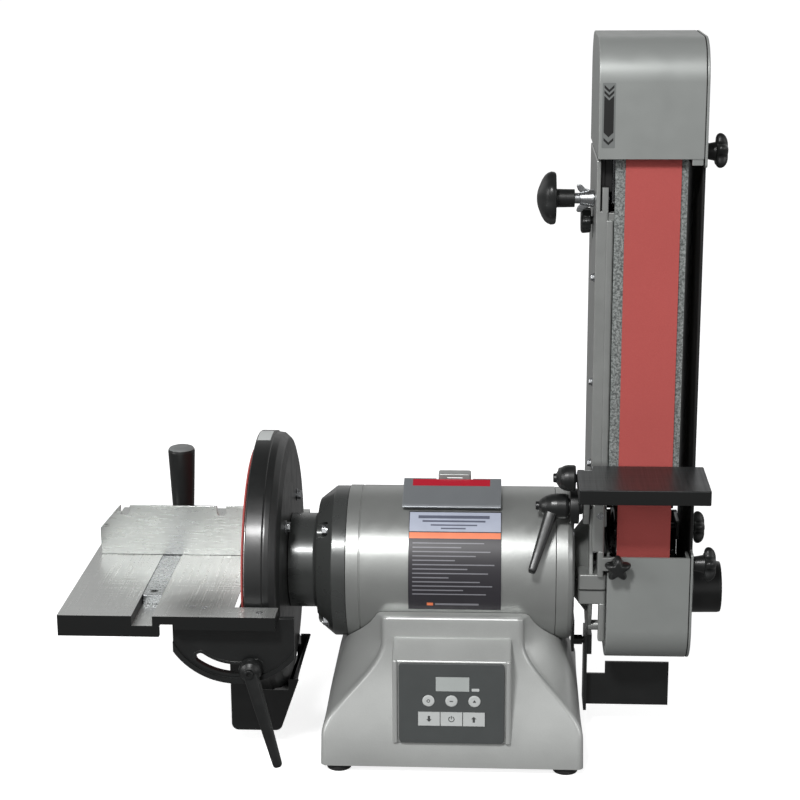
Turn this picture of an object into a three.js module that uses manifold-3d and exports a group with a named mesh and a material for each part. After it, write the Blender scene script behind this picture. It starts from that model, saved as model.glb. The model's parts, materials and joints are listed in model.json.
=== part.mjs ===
// Bench-top belt and disc sander. Millimetres, +Z up, +X to the right, the user stands at -Y.
// The motor shaft runs along X. A sanding disc sits on its left end and a belt wheel on its right end.
import * as THREE from 'three';
import { mergeVertices } from 'three/addons/utils/BufferGeometryUtils.js';
import Module from 'manifold-3d';

const wasm = await Module();
wasm.setup();

// ---------------------------------------------------------------- driving dimensions
const GAP = 0.3; // between pieces that touch
const BELT_GAP = 0.6; // between the belt and what it runs round
const SHAFT_Z = 178; // shaft height over the bench
const SHAFT_R = 11;

// base
const BASE = { halfBottom: 127, halfTop: 69, frontBottom: 115, frontTop: 85, low: 8, high: 151, wall: 6 };
const PANEL = { halfWidth: 50.5, low: 34.5, high: 116.5, front: -117, thick: 3 };
const FOOT = { r: 12, x: 110, y: 100 };

// motor, along X
const SHELL = { r: 75.8, inner: 71.5, left: -104, right: 99 };
const NECK = { r: 47, left: -163 };
const BOSS = { r: 30, right: 130 };
const BEARING = { r: 26, left: [-128, -112], right: [101, 113] };

// disc and its guard
const DISC = { r: 114.3, face: -200, plateFront: -198, plateBack: -188.5 };
const GUARD = { r: 130, inner: 126, front: -195, back: -163 };
const HOOD = { left: -221, low: 18, high: 120, halfDepth: 60, wall: 3 };

// disc table, which tilts about an axis along Y
const TABLE_PIVOT = { x: -202, z: 176 };
const TABLE = { left: -366, edge: -203.5, wingEnd: -162, halfDepth: 161, top: 178, plate: 8, rim: 20.4 };
const SLOT = { x: -286.5, width: 19.5, depth: 9.5 };
const TRUNNION = { y: 138, thick: 6, outer: 72, slotR: 57.5, restAngle: -76, travel: 45 };
const MITRE_PIVOT_Y = 25;
const MITRE_LOCK_R = 58;

// belt unit, which swings about the shaft
const BELT = { width: 50.8, centre: 182.5, thick: 1.5, wheelR: 60, idlerR: 38, idlerY: -22, idlerZ: 453 };
const ARM = { left: 131, wall: 4, front: -58, back: 70, top: 410, footR: 66 };
const COVER = { front: -74, back: 76, corner: 38, left: 131, right: 226.7, low: 413, high: 520, wall: 2.5 };
const LOWER = { left: 148, low: -81, high: 32 };
const PLATEN = { left: 148, right: 214, front: -59.8, back: -55, low: 80, high: 422 };
const SIDE = { inner: 227, outer: 229.7 };
const BELT_TABLE = { left: 117, right: 237, front: -141, back: -63.4, low: 284.4, top: 298.4 };
const BELT_TABLE_PIVOT = { y: -70, z: 288 };
const TABLE_NOTCH = { right: 131.3, front: -79 }; // room for the pivot at the table's back left corner

const beltLeft = BELT.centre - BELT.width / 2;
const beltRight = BELT.centre + BELT.width / 2;

// ---------------------------------------------------------------- materials
const paint = (color, roughness = 0.45, metalness = 0.3) =>
  new THREE.MeshStandardMaterial({ color, roughness, metalness });
const SILVER = paint(0x9a9c9a, 0.38, 0.45);
const COVER_GRAY = paint(0x919391, 0.45, 0.2);
const DARK_GRAY = paint(0x4a4c4b, 0.4, 0.3);
const BLACK = paint(0x1b1d1c, 0.4, 0.1);
const STEEL = paint(0xb4b6b8, 0.3, 0.9);
const GROUND = paint(0xc8cdcb, 0.25, 0.9);
const DARK_GROUND = paint(0x4d5052, 0.3, 0.8);
const ALUMINIUM = paint(0xcbcdca, 0.35, 0.8);
const ABRASIVE = paint(0xac524e, 0.9, 0);
const GRAPHITE = paint(0x6d706e, 0.8, 0.1);
const COPPER = paint(0x9a5b35, 0.5, 0.6);
const RUBBER = paint(0x202020, 0.9, 0);
const PANEL_GRAY = paint(0x4a4e4d, 0.6, 0);
const KEY_GRAY = paint(0xd0d3d2, 0.5, 0);
const LABEL = paint(0x3c3d42, 0.5, 0);
const RED = paint(0xaf1e32, 0.4, 0);
const LCD = paint(0xaab0ae, 0.2, 0);
const CIRCUIT = paint(0x2c4a3a, 0.6, 0.1);

// ---------------------------------------------------------------- solids
// A closed three.js geometry becomes a manifold solid; slivers are dropped and faces turned outward.
function solid(source) {
  const bare = source.clone();
  bare.deleteAttribute('normal');
  bare.deleteAttribute('uv');
  const merged = mergeVertices(bare);
  const place = merged.attributes.position;
  const corners = Array.from(merged.index.array);
  const triangles = [];
  let volume = 0;
  const a = new THREE.Vector3();
  const b = new THREE.Vector3();
  const c = new THREE.Vector3();
  for (let i = 0; i < corners.length; i += 3) {
    const [p, q, r] = corners.slice(i, i + 3);
    if (p === q || q === r || r === p) continue;
    triangles.push([p, q, r]);
    a.fromBufferAttribute(place, p);
    b.fromBufferAttribute(place, q);
    c.fromBufferAttribute(place, r);
    volume += a.dot(b.cross(c));
  }
  const order = volume < 0 ? triangles.map(([p, q, r]) => [p, r, q]) : triangles;
  return new wasm.Manifold(new wasm.Mesh({
    numProp: 3,
    vertProperties: new Float32Array(place.array),
    triVerts: new Uint32Array(order.flat()),
  }));
}

const join = (...pieces) => pieces.reduce((sum, piece) => sum.add(piece));
const cut = (body, ...tools) => tools.reduce((rest, tool) => rest.subtract(tool), body);
const pick = ([x, y, z]) => new THREE.Vector3(x, y, z);

function box(x, y, z) {
  const shape = new THREE.BoxGeometry(x[1] - x[0], y[1] - y[0], z[1] - z[0]);
  shape.translate((x[0] + x[1]) / 2, (y[0] + y[1]) / 2, (z[0] + z[1]) / 2);
  return solid(shape);
}

// A frustum from one point to another.
function taper(from, to, r0, r1, sides = 12) {
  const start = pick(from);
  const span = pick(to).sub(start);
  const shape = new THREE.CylinderGeometry(r1, r0, span.length(), sides);
  shape.translate(0, span.length() / 2, 0);
  shape.applyQuaternion(new THREE.Quaternion().setFromUnitVectors(
    new THREE.Vector3(0, 1, 0),
    span.clone().normalize(),
  ));
  shape.translate(start.x, start.y, start.z);
  return solid(shape);
}

const rodX = (r, x, [y, z] = [0, 0], sides = 14) => taper([x[0], y, z], [x[1], y, z], r, r, sides);
const rodY = (r, y, [x, z] = [0, 0], sides = 12) => taper([x, y[0], z], [x, y[1], z], r, r, sides);
const rodZ = (r, z, [x, y] = [0, 0], sides = 12) => taper([x, y, z[0]], [x, y, z[1]], r, r, sides);
const ringX = (r, hole, x, at) => cut(rodX(r, x, at), rodX(hole, [x[0] - 1, x[1] + 1], at));

// A profile of [x, radius] points turned about the X axis.
function turned(profile, sides = 20) {
  const points = profile.map(([x, r]) => new THREE.Vector2(r, x));
  points.push(points[0].clone());
  const shape = new THREE.LatheGeometry(points, sides);
  shape.rotateZ(-Math.PI / 2);
  return solid(shape);
}

const U_TO = {
  x: new THREE.Matrix4().makeBasis(pick([0, 1, 0]), pick([0, 0, 1]), pick([1, 0, 0])),
  y: new THREE.Matrix4().makeBasis(pick([1, 0, 0]), pick([0, 0, 1]), pick([0, -1, 0])),
  z: new THREE.Matrix4(),
};

// A shape drawn in the plane across the named axis and extruded along it between two stations.
// Across x the shape is drawn in (y, z), across y in (x, z) and across z in (x, y).
function prism(axis, shape, [low, high], curveSegments = 6) {
  const body = new THREE.ExtrudeGeometry(shape, { depth: high - low, bevelEnabled: false, curveSegments });
  body.applyMatrix4(U_TO[axis]);
  const shift = { x: [low, 0, 0], y: [0, high, 0], z: [0, 0, low] }[axis];
  body.translate(...shift);
  return solid(body);
}

const polygon = (points) => new THREE.Shape(points.map(([u, v]) => new THREE.Vector2(u, v)));

// A rectangle with its own radius at each corner: low-left, low-right, high-right, high-left.
function roundedBox([u0, u1], [v0, v1], radii) {
  const [a, b, c, d] = Array.isArray(radii) ? radii : [radii, radii, radii, radii];
  const shape = new THREE.Shape();
  shape.moveTo(u0 + a, v0);
  shape.lineTo(u1 - b, v0);
  if (b) shape.absarc(u1 - b, v0 + b, b, -Math.PI / 2, 0);
  shape.lineTo(u1, v1 - c);
  if (c) shape.absarc(u1 - c, v1 - c, c, 0, Math.PI / 2);
  shape.lineTo(u0 + d, v1);
  if (d) shape.absarc(u0 + d, v1 - d, d, Math.PI / 2, Math.PI);
  shape.lineTo(u0, v0 + a);
  if (a) shape.absarc(u0 + a, v0 + a, a, Math.PI, Math.PI * 1.5);
  return shape;
}

const radians = (degrees) => degrees * Math.PI / 180;
const onCircle = (r, degrees, [u, v] = [0, 0]) => [
  u + r * Math.cos(radians(degrees)),
  v + r * Math.sin(radians(degrees)),
];

// A curved slot of even width with round ends, about a centre.
function arcSlot(r, halfWidth, start, end, centre = [0, 0]) {
  const shape = new THREE.Shape();
  const [u, v] = centre;
  shape.absarc(u, v, r + halfWidth, radians(start), radians(end), false);
  shape.absarc(...onCircle(r, end, centre), halfWidth, radians(end), radians(end + 180), false);
  shape.absarc(u, v, r - halfWidth, radians(end), radians(start), true);
  shape.absarc(...onCircle(r, start, centre), halfWidth, radians(start + 180), radians(start + 360), false);
  return shape;
}

// The outline of a knob with round lobes.
function lobes(r, depth, count, steps = 25) {
  const points = [];
  for (let i = 0; i < steps; i += 1) {
    const turn = 360 * i / steps;
    points.push(onCircle(r - depth + depth * Math.cos(radians(turn * count)), turn + 90));
  }
  return polygon(points);
}

// ---------------------------------------------------------------- scene graph
const machine = new THREE.Group();

function subassembly(x, y, z) {
  const holder = new THREE.Group();
  holder.position.set(x, y, z);
  machine.add(holder);
  return holder;
}

function add(holder, name, body, material, at = [0, 0, 0]) {
  const { vertProperties, triVerts } = body.getMesh();
  const shape = new THREE.BufferGeometry();
  shape.setAttribute('position', new THREE.BufferAttribute(vertProperties, 3));
  shape.setIndex(new THREE.BufferAttribute(triVerts, 1));
  shape.computeVertexNormals();
  const mesh = new THREE.Mesh(shape, material);
  mesh.name = name;
  mesh.position.set(...at);
  holder.add(mesh);
}

const bench = subassembly(0, 0, 0);
const motor = subassembly(0, 0, SHAFT_Z);
const discTable = subassembly(TABLE_PIVOT.x, 0, TABLE_PIVOT.z);
const arm = subassembly(0, 0, SHAFT_Z);
const beltTable = subassembly(0, BELT_TABLE_PIVOT.y, BELT_TABLE_PIVOT.z);

// ---------------------------------------------------------------- base
// Half width of the front face and of the bulging flank, and the half depth, at a height from 0 to 1.
const smooth = (t) => t * t * (3 - 2 * t);
const clamp01 = (t) => Math.min(1, Math.max(0, t));
const faceDraw = BASE.halfBottom - BASE.halfTop - 2;
const faceHalf = (t) => BASE.halfBottom - 2 * t - faceDraw * smooth(clamp01((t - 0.2) / 0.62));
const flankHalf = (t) => BASE.halfBottom - 44 * clamp01(t) ** 2.2;
const depthHalf = (t) => BASE.frontBottom - (BASE.frontBottom - BASE.frontTop) * smooth(clamp01(t / 0.9));

// One level of the base in plan: a straight face, a flank that swells between the faces, mirrored twice.
function baseRing(t, inset) {
  const face = faceHalf(t) - inset;
  const flank = flankHalf(t) - inset;
  const depth = depthHalf(t) - inset;
  const reach = 0.45 * depth;
  const quarter = [[face - 5, -depth], [face, -depth + 5]];
  for (const step of [0.4, 1]) {
    const ease = Math.sin(step * Math.PI / 2);
    quarter.push([face + (flank - face) * ease, -depth + 5 + (depth - 5 - reach) * step]);
  }
  const right = [...quarter, ...quarter.map(([x, y]) => [x, -y]).reverse()];
  return [...right, ...right.map(([x, y]) => [-x, y]).reverse()];
}

function baseSolid(inset, low, high, levels) {
  const rings = [];
  for (let i = 0; i <= levels; i += 1) {
    const z = low + (high - low) * i / levels;
    rings.push(baseRing((z - BASE.low) / (BASE.high - BASE.low), inset).map(([x, y]) => [x, y, z]));
  }
  const count = rings[0].length;
  const points = rings.flat();
  const faces = [];
  for (let i = 0; i < levels; i += 1) {
    for (let j = 0; j < count; j += 1) {
      const k = (j + 1) % count;
      const [p, q, r, s] = [i * count + j, i * count + k, (i + 1) * count + k, (i + 1) * count + j];
      faces.push(p, q, r, p, r, s);
    }
  }
  const cap = THREE.ShapeUtils.triangulateShape(rings[0].map(([x, y]) => new THREE.Vector2(x, y)), []);
  const lid = levels * count;
  for (const [p, q, r] of cap) faces.push(p, r, q, lid + p, lid + q, lid + r);
  const shape = new THREE.BufferGeometry();
  shape.setAttribute('position', new THREE.Float32BufferAttribute(points.flat(), 3));
  shape.setIndex(faces);
  return solid(shape);
}

function buildBase() {
  const bossTop = PANEL.high + 14;
  const panelBoss = prism('x', polygon([
    [-70, PANEL.low - 4],
    [-112, PANEL.low - 4],
    [PANEL.front + PANEL.thick + GAP, PANEL.low],
    [PANEL.front + PANEL.thick + GAP, PANEL.high + 1],
    [-88, bossTop],
    [-70, bossTop],
  ]), [-57, 57]);
  const inside = baseSolid(BASE.wall, BASE.low - 0.5, 128, 4);
  const cradle = rodX(SHELL.r + 0.6, [-140, 140], [0, SHAFT_Z], 32);
  const wireHole = rodZ(12, [90, 140]);
  const outer = join(baseSolid(0, BASE.low, BASE.high, 9), panelBoss);
  const inletHole = rodY(9, [90, 130], [60, 50]);
  add(bench, 'base_casting', cut(outer, inside, cradle, wireHole, inletHole), SILVER);

  const plateHalf = [BASE.halfBottom - BASE.wall - 7, BASE.frontBottom - BASE.wall - 2];
  const plate = box([-plateHalf[0], plateHalf[0]], [-plateHalf[1], plateHalf[1]], [BASE.low, BASE.low + 2.5]);
  add(bench, 'base_plate', plate, STEEL);
  const controller = join(box([-45, 45], [-20, 50], [13, 60]), box([-40, 40], [-14, 44], [60, 72]));
  add(bench, 'drive_controller', controller, CIRCUIT);
  const inletSpot = [60, 50];
  const inlet = join(
    rodY(14, [114.6, 121], inletSpot),
    rodY(8.4, [104, 121], inletSpot),
    rodY(10, [120, 132], inletSpot),
  );
  add(bench, 'cord_inlet', cut(inlet, rodY(4, [100, 140], inletSpot)), BLACK);

  const footTop = taper([0, 0, 4], [0, 0, BASE.low - GAP], FOOT.r, FOOT.r - 2);
  const foot = join(rodZ(FOOT.r, [0, 4]), footTop);
  for (const [side, x] of [['left', -FOOT.x], ['right', FOOT.x]]) {
    for (const [end, y] of [['front', -FOOT.y], ['rear', FOOT.y]]) {
      add(bench, `foot_${end}_${side}`, foot, RUBBER, [x, y, 0]);
    }
  }
}

// ---------------------------------------------------------------- control panel and keys
const KEY_TRAVEL_GAP = 1.6; // depth of the well behind each key
const ROUND_KEYS = { z: 78.5, x: [-22, 0, 22], r: 5.8 };
const BAR_KEYS = { z: 60, x: [-21.5, 0, 21.5], half: [10.4, 7] };
const LCD_AREA = { x: [-15, 17], z: [88.5, 103] };
const keyFront = PANEL.front - 0.8;

function buildPanel() {
  const back = PANEL.front + PANEL.thick;
  const outline = roundedBox([-PANEL.halfWidth, PANEL.halfWidth], [PANEL.low, PANEL.high], 4);
  const wells = [];
  for (const x of ROUND_KEYS.x) {
    wells.push(rodY(ROUND_KEYS.r + GAP, [PANEL.front - 1, PANEL.front + KEY_TRAVEL_GAP], [x, ROUND_KEYS.z]));
  }
  const [halfX, halfZ] = BAR_KEYS.half;
  for (const x of BAR_KEYS.x) {
    wells.push(box(
      [x - halfX - GAP, x + halfX + GAP],
      [PANEL.front - 1, PANEL.front + KEY_TRAVEL_GAP],
      [BAR_KEYS.z - halfZ - GAP, BAR_KEYS.z + halfZ + GAP],
    ));
  }
  const lcdWell = box(
    [LCD_AREA.x[0] - GAP, LCD_AREA.x[1] + GAP],
    [PANEL.front - 1, PANEL.front + 1.5],
    [LCD_AREA.z[0] - GAP, LCD_AREA.z[1] + GAP],
  );
  add(bench, 'control_panel', cut(prism('y', outline, [PANEL.front, back]), ...wells, lcdWell), PANEL_GRAY);
  add(bench, 'lcd_window', box(LCD_AREA.x, [PANEL.front - 0.2, PANEL.front + 1.2], LCD_AREA.z), LCD);

  const roundKey = rodY(ROUND_KEYS.r, [0, 1]);
  ['mode', 'set', 'reverse'].forEach((use, i) => {
    add(bench, `key_${use}`, roundKey, KEY_GRAY, [ROUND_KEYS.x[i], keyFront, ROUND_KEYS.z]);
  });
  const barKey = box([-halfX, halfX], [0, 1], [-halfZ, halfZ]);
  ['slower', 'power', 'faster'].forEach((use, i) => {
    add(bench, `key_${use}`, barKey, KEY_GRAY, [BAR_KEYS.x[i], keyFront, BAR_KEYS.z]);
  });
}

// ---------------------------------------------------------------- motor
function buildMotor() {
  const { r, inner, left, right } = SHELL;
  add(motor, 'motor_shell', turned([
    [left, inner], [left, r], [-91.8, r], [-91.4, r - 0.6], [-90.6, r - 0.6], [-90.2, r],
    [right, r], [right, inner],
  ]), SILVER);

  const [seatLeft, seatLeftEnd] = BEARING.left;
  const seat = BEARING.r + GAP;
  add(motor, 'left_end_bell', turned([
    [left - GAP, 70], [left - GAP, 74.5], [-119, 74.5], [-134, 62], [-134, NECK.r + 6], [-137, NECK.r],
    [NECK.left, NECK.r], [NECK.left, 30], [-136, 30], [-132, 14], [seatLeft - GAP, 14],
    [seatLeft - GAP, seat],
    [seatLeftEnd, seat], [seatLeftEnd, 32], [-124, 34], [-124, 56], [-114, 70],
  ]), DARK_GRAY);

  const [seatRight, seatRightEnd] = BEARING.right;
  add(motor, 'right_end_bell', turned([
    [right + GAP, 70], [right + GAP, 75.5], [111, 75.5], [115, 73.5], [117, 69], [117, BOSS.r],
    [BOSS.right, BOSS.r], [BOSS.right, 14], [seatRightEnd + GAP, 14], [seatRightEnd + GAP, seat],
    [seatRight, seat], [seatRight, 32], [107, 34], [107, 64], [103, 70],
  ]), SILVER);

  add(motor, 'stator', turned([
    [-74, 48], [-74, 62], [-58, 66], [-58, inner - GAP], [58, inner - GAP], [58, 66], [74, 62], [74, 48],
    [58, 43], [-58, 43],
  ]), COPPER);
  for (const [name, [low, high]] of [['bearing_left', BEARING.left], ['bearing_right', BEARING.right]]) {
    const hole = SHAFT_R + GAP;
    add(motor, name, turned([[low, hole], [low, BEARING.r], [high, BEARING.r], [high, hole]]), STEEL);
  }

  add(motor, 'nameplate', nameplate(), RED);
  add(motor, 'rating_label', ratingLabel(), LABEL);
  const lug = join(box([-16, 16], [-4, 10], [77, 92.5]), box([-16, 16], [-9, 16], [74, 79]));
  const tongueSlot = box([-8, 8], [-6, 12], [84, 89]);
  add(motor, 'accessory_bracket', cut(lug, tongueSlot, shellSeat()), SILVER);
}

// What is cut from a piece so that it sits on the motor.
const shellSeat = () => rodX(SHELL.r + GAP, [-60, 60], [0, 0], 32);

// A flat plate that leans back against the top of the motor.
function nameplate() {
  const face = polygon([[-44, 70.5], [-41, 73], [-3, 88], [-1.2, 85], [-5, 78.4], [-30, 72], [-38, 68]]);
  const bracketRoom = box([-18, 18], [-11, 20], [70, 96]);
  return cut(prism('x', face, [-50, 46]), shellSeat(), bracketRoom);
}

// A thin curved sheet on the front of the motor.
function ratingLabel() {
  const sheet = 0.6;
  const shape = new THREE.Shape();
  const low = radians(180 + 17.6);
  const high = radians(180 - 58.6);
  shape.absarc(0, 0, SHELL.r + GAP + sheet, high, low, false);
  shape.absarc(0, 0, SHELL.r + GAP, low, high, true);
  return prism('x', shape, [-43, 46.5], 12);
}

// ---------------------------------------------------------------- rotor: what turns with the shaft
function buildRotor() {
  const hex = new THREE.CylinderGeometry(15, 15, 10, 6);
  hex.rotateZ(Math.PI / 2);
  hex.translate(213.8, 0, 0);
  const shaft = join(rodX(SHAFT_R, [-188, 220]), rodX(41.5, [-56, 56]), solid(hex));
  add(motor, 'motor_rotor', shaft, STEEL);

  const { plateFront, plateBack, face } = DISC;
  const bore = SHAFT_R + GAP;
  add(motor, 'disc_plate', turned([
    [plateFront, 0], [plateFront, DISC.r - 0.8], [plateFront + 0.8, DISC.r],
    [plateBack, DISC.r], [plateBack, 24], [-172, 22], [-172, bore], [plateBack, bore], [plateBack, 0],
  ]), ALUMINIUM);
  add(motor, 'sanding_disc', rodX(DISC.r, [face, plateFront - GAP], [0, 0], 24), ABRASIVE);

  const [low, high] = [beltLeft, beltRight];
  const rim = BELT.wheelR;
  add(motor, 'drive_wheel', turned([
    [low, rim - 0.6], [BELT.centre, rim], [high, rim - 0.6], [high, rim - 8], [BELT.centre + 5, rim - 10],
    [BELT.centre + 5, 20], [high, 18], [high, bore], [low, bore], [low, 18], [BELT.centre - 5, 20],
    [BELT.centre - 5, rim - 10], [low, rim - 8],
  ]), ALUMINIUM);
}

// ---------------------------------------------------------------- disc guard and dust hood
const lockSpot = onCircle(TRUNNION.slotR, TRUNNION.restAngle, [TABLE_PIVOT.x, TABLE_PIVOT.z - SHAFT_Z]);
const STUD_R = 4;

function buildDiscGuard() {
  const { r, inner, front, back } = GUARD;
  const drum = turned([
    [front, inner], [front, r], [-178, r], [-172, 128], [-167, 123], [back - GAP, 112], [back - GAP, 34],
    [-167, 34], [-167, 112], [-172, 121], [-178, inner],
  ]);
  const bosses = cut(rodY(12, [-134.3, 134.3], lockSpot), rodX(inner, [-230, -150], [0, 0], 20));
  const rearBolt = join(rodY(STUD_R, [130, 150], lockSpot), rodY(9, [TRUNNION.y + 6, 152], lockSpot, 6));
  const frontBore = rodY(STUD_R + GAP, [-140, -100], lockSpot);
  const chute = box([-190, -168], [-45, 45], [-140, -80]);
  add(motor, 'disc_guard', cut(join(drum, bosses, rearBolt), frontBore, chute), BLACK);
}

function buildHood() {
  const { left, low, high, halfDepth, wall } = HOOD;
  const outline = (inset) => polygon([
    [left + inset, low - SHAFT_Z + inset],
    [-172 - inset / 2, low - SHAFT_Z + inset],
    [-152 - inset, 75 - SHAFT_Z],
    [-152 - inset, 122 - SHAFT_Z - inset],
    [-162 + inset, 128 - SHAFT_Z - inset],
    [-200, 128 - SHAFT_Z - inset],
    [-200, high - SHAFT_Z + 1],
    [left + inset, high - SHAFT_Z + (inset ? 1 : 0)],
  ]);
  const shell = prism('y', outline(0), [-halfDepth, halfDepth]);
  const hollow = prism('y', outline(wall), [-halfDepth + wall, halfDepth - wall]);
  const port = cut(rodY(28, [halfDepth - 1, halfDepth + 25], [-192, -126]));
  const body = cut(
    join(cut(shell, hollow), port),
    rodY(25, [halfDepth - 10, halfDepth + 30], [-192, -126]),
    rodX(GUARD.r + 0.6, [GUARD.front - GAP, GUARD.back + GAP], [0, 0], 40),
    rodX(DISC.r + 6, [-206, -150], [0, 0], 24),
  );
  const largest = body.decompose().reduce((best, piece) => (piece.volume() > best.volume() ? piece : best));
  add(motor, 'dust_hood', largest, BLACK);
}

// ---------------------------------------------------------------- disc table, drawn about its tilt axis
const tx = (x) => x - TABLE_PIVOT.x;
const tz = (z) => z - TABLE_PIVOT.z;

function buildDiscTable() {
  const { left, edge, wingEnd, halfDepth, top, plate, rim } = TABLE;
  const under = top - plate;
  const full = [-halfDepth, halfDepth];
  const slab = prism('y', polygon([
    [tx(left), tz(under)], [tx(edge) - plate, tz(under)], [tx(edge), tz(top) - 1], [tx(edge), tz(top)],
    [tx(left), tz(top)],
  ]), full);
  const wing = (y) => box([tx(edge) - 12, tx(wingEnd)], y, [tz(under), tz(top)]);
  const rimWall = (x, y, low = top - rim) => box([tx(x[0]), tx(x[1])], y, [tz(low), tz(under) + 1]);
  const wall = 6;
  const front = [-halfDepth, -halfDepth + wall];
  const rear = [halfDepth - wall, halfDepth];
  const channel = box([tx(SLOT.x) - 13.5, tx(SLOT.x) + 13.5], full, [tz(162), tz(under) + 1]);
  const ribs = [-80, 0, 80].map((y) => box([tx(left), tx(SLOT.x)], [y - 2, y + 2], [tz(163), tz(under) + 1]));
  const body = join(
    slab, wing([-halfDepth, -135]), wing([135, halfDepth]), channel, ...ribs,
    rimWall([left, -271], front), rimWall([left, -271], rear), rimWall([left, left + wall], full),
    rimWall([-257, wingEnd], front, 165), rimWall([-257, wingEnd], rear, 165),
  );
  const slot = box(
    [tx(SLOT.x) - SLOT.width / 2, tx(SLOT.x) + SLOT.width / 2],
    [-halfDepth - 5, halfDepth + 5],
    [tz(top) - SLOT.depth, tz(top) + 5],
  );
  add(discTable, 'disc_table', cut(body, slot), GROUND);

  const halfThick = TRUNNION.thick / 2;
  for (const [name, side] of [['trunnion_front', -1], ['trunnion_rear', 1]]) {
    const inner = side * (TRUNNION.y - halfThick);
    const outerFace = side * (TRUNNION.y + halfThick);
    add(discTable, name, trunnion(inner, outerFace, side), BLACK);
  }
}

// A hanging plate with an arc-shaped lower edge, a raised rim along it, a curved slot and a top flange.
function trunnion(innerFace, outerFace, side) {
  const sorted = (a, b) => (a < b ? [a, b] : [b, a]);
  const topZ = tz(TABLE.top - TABLE.plate) - GAP;
  const start = 180 + 34;
  const end = 360 - 40;
  const outline = (r, inset) => {
    const shape = new THREE.Shape();
    shape.absarc(0, 0, r, radians(start), radians(end), false);
    shape.lineTo(onCircle(r, end)[0], topZ - inset);
    shape.lineTo(onCircle(r, start)[0], topZ - inset);
    return shape;
  };
  const plate = prism('y', outline(TRUNNION.outer, 0), sorted(innerFace, outerFace), 8);
  const band = cut(
    prism('y', outline(TRUNNION.outer, 12), sorted(innerFace, outerFace + side * 2.5), 8),
    rodY(TRUNNION.outer - 5, sorted(innerFace, outerFace + side * 6), [0, 0], 28),
  );
  const flange = box([-60, 39], sorted(innerFace, side * 150), [topZ - 4, topZ]);
  const slotEnd = TRUNNION.restAngle + 5;
  const slot = arcSlot(TRUNNION.slotR, STUD_R + 0.7, TRUNNION.restAngle - TRUNNION.travel - 5, slotEnd);
  return cut(join(plate, band, flange), prism('y', slot, sorted(innerFace - side, outerFace + side * 5), 6));
}

const LEVER_HEAD = 3; // how far a lever's screw stands out of its hub

// A ratchet clamp lever: hub, screw head, threaded stud and a tapering handle.
function clampLever(hubFrom, hubTo, studTo, tip, hubR = 11) {
  const middle = hubFrom.map((value, i) => (value + hubTo[i]) / 2);
  const headTo = hubFrom.map((value, i) => value + Math.sign(value - hubTo[i]) * LEVER_HEAD);
  return join(
    taper(hubFrom, hubTo, hubR, hubR),
    taper(middle, headTo, 5, 4.4, 10),
    taper(middle, studTo, STUD_R, STUD_R, 10),
    taper(middle, tip, 6.5, 5, 10),
  );
}

function buildDiscTableLever() {
  const [x, z] = [lockSpot[0], lockSpot[1]];
  const near = -(TRUNNION.y + TRUNNION.thick / 2 + 3);
  const lever = clampLever([x, near - 13, z], [x, near, z], [x, -116, z], [x + 26, -162, z - 92]);
  add(motor, 'disc_table_lever', lever, BLACK);
}

// ---------------------------------------------------------------- mitre gauge, drawn in the table's frame
function buildMitre() {
  const x = tx(SLOT.x);
  const top = tz(TABLE.top);
  const pivot = [x, MITRE_PIVOT_Y];
  const bar = join(
    box([x - 9.5, x + 9.5], [-105, 135], [top - SLOT.depth + GAP, top - GAP]),
    rodZ(5, [top - 1, top + 11], pivot),
  );
  add(discTable, 'mitre_bar', bar, STEEL);

  const shape = new THREE.Shape();
  shape.moveTo(x - 68, MITRE_PIVOT_Y - 13);
  shape.lineTo(x + 68, MITRE_PIVOT_Y - 13);
  shape.lineTo(x + 68, MITRE_PIVOT_Y);
  shape.absarc(...pivot, 68, 0, Math.PI, false);
  const plate = prism('z', shape, [top + GAP, top + 8], 12);
  const upstand = box([x - 46, x + 46], [12, 18], [top + GAP, top + 30]);
  const swivelSlot = prism('z', arcSlot(MITRE_LOCK_R, STUD_R + 0.7, 38, 142, pivot), [top - 2, top + 20], 6);
  const head = cut(join(plate, upstand), swivelSlot, rodZ(5.3, [top - 2, top + 20], pivot));
  add(discTable, 'mitre_head', head, ALUMINIUM);

  const [low, high] = [top + GAP, top + 52];
  const [left, right] = [tx(-359), tx(-209)];
  const notch = (at) => [[at + 4.5, high], [at + 4.5, high - 10], [at - 4.5, high - 10], [at - 4.5, high]];
  const plateShape = polygon([
    [left, low], [right, low], [right, high], ...notch(tx(-235)), ...notch(tx(-333)),
    [tx(-338.5), high], [left, high - 24],
  ]);
  add(discTable, 'mitre_fence', prism('y', plateShape, [8.7, 11.7]), ALUMINIUM);

  const lock = [x, MITRE_PIVOT_Y + MITRE_LOCK_R];
  const grip = join(
    rodZ(STUD_R, [top, top + 14], lock),
    rodZ(9, [top + 8.4, top + 12], lock),
    taper([...lock, top + 11], [...lock, top + 91], 10.5, 14, 16),
    taper([...lock, top + 91], [...lock, top + 94], 14, 10, 16),
  );
  add(discTable, 'mitre_handle', grip, BLACK);
}

// ---------------------------------------------------------------- belt arm, drawn about the shaft
const KNOB_SPOTS = { top: [-30, 414.5], front: [-60, 22], rear: [50, 22] };
const TRACK = { y: -22, z: 369.5 };
const TENSION = { y: 1, z: 345, travel: 12 };
const GUARD_KNOB = { x: 157, z: 26 };
const LOCK_LEVER = { y: -54, z: 77 };
const CLAMP = { left: 121, right: 147.2, front: -66, low: -19, high: 11.5, slit: [-5.4, -3.4] };

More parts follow.
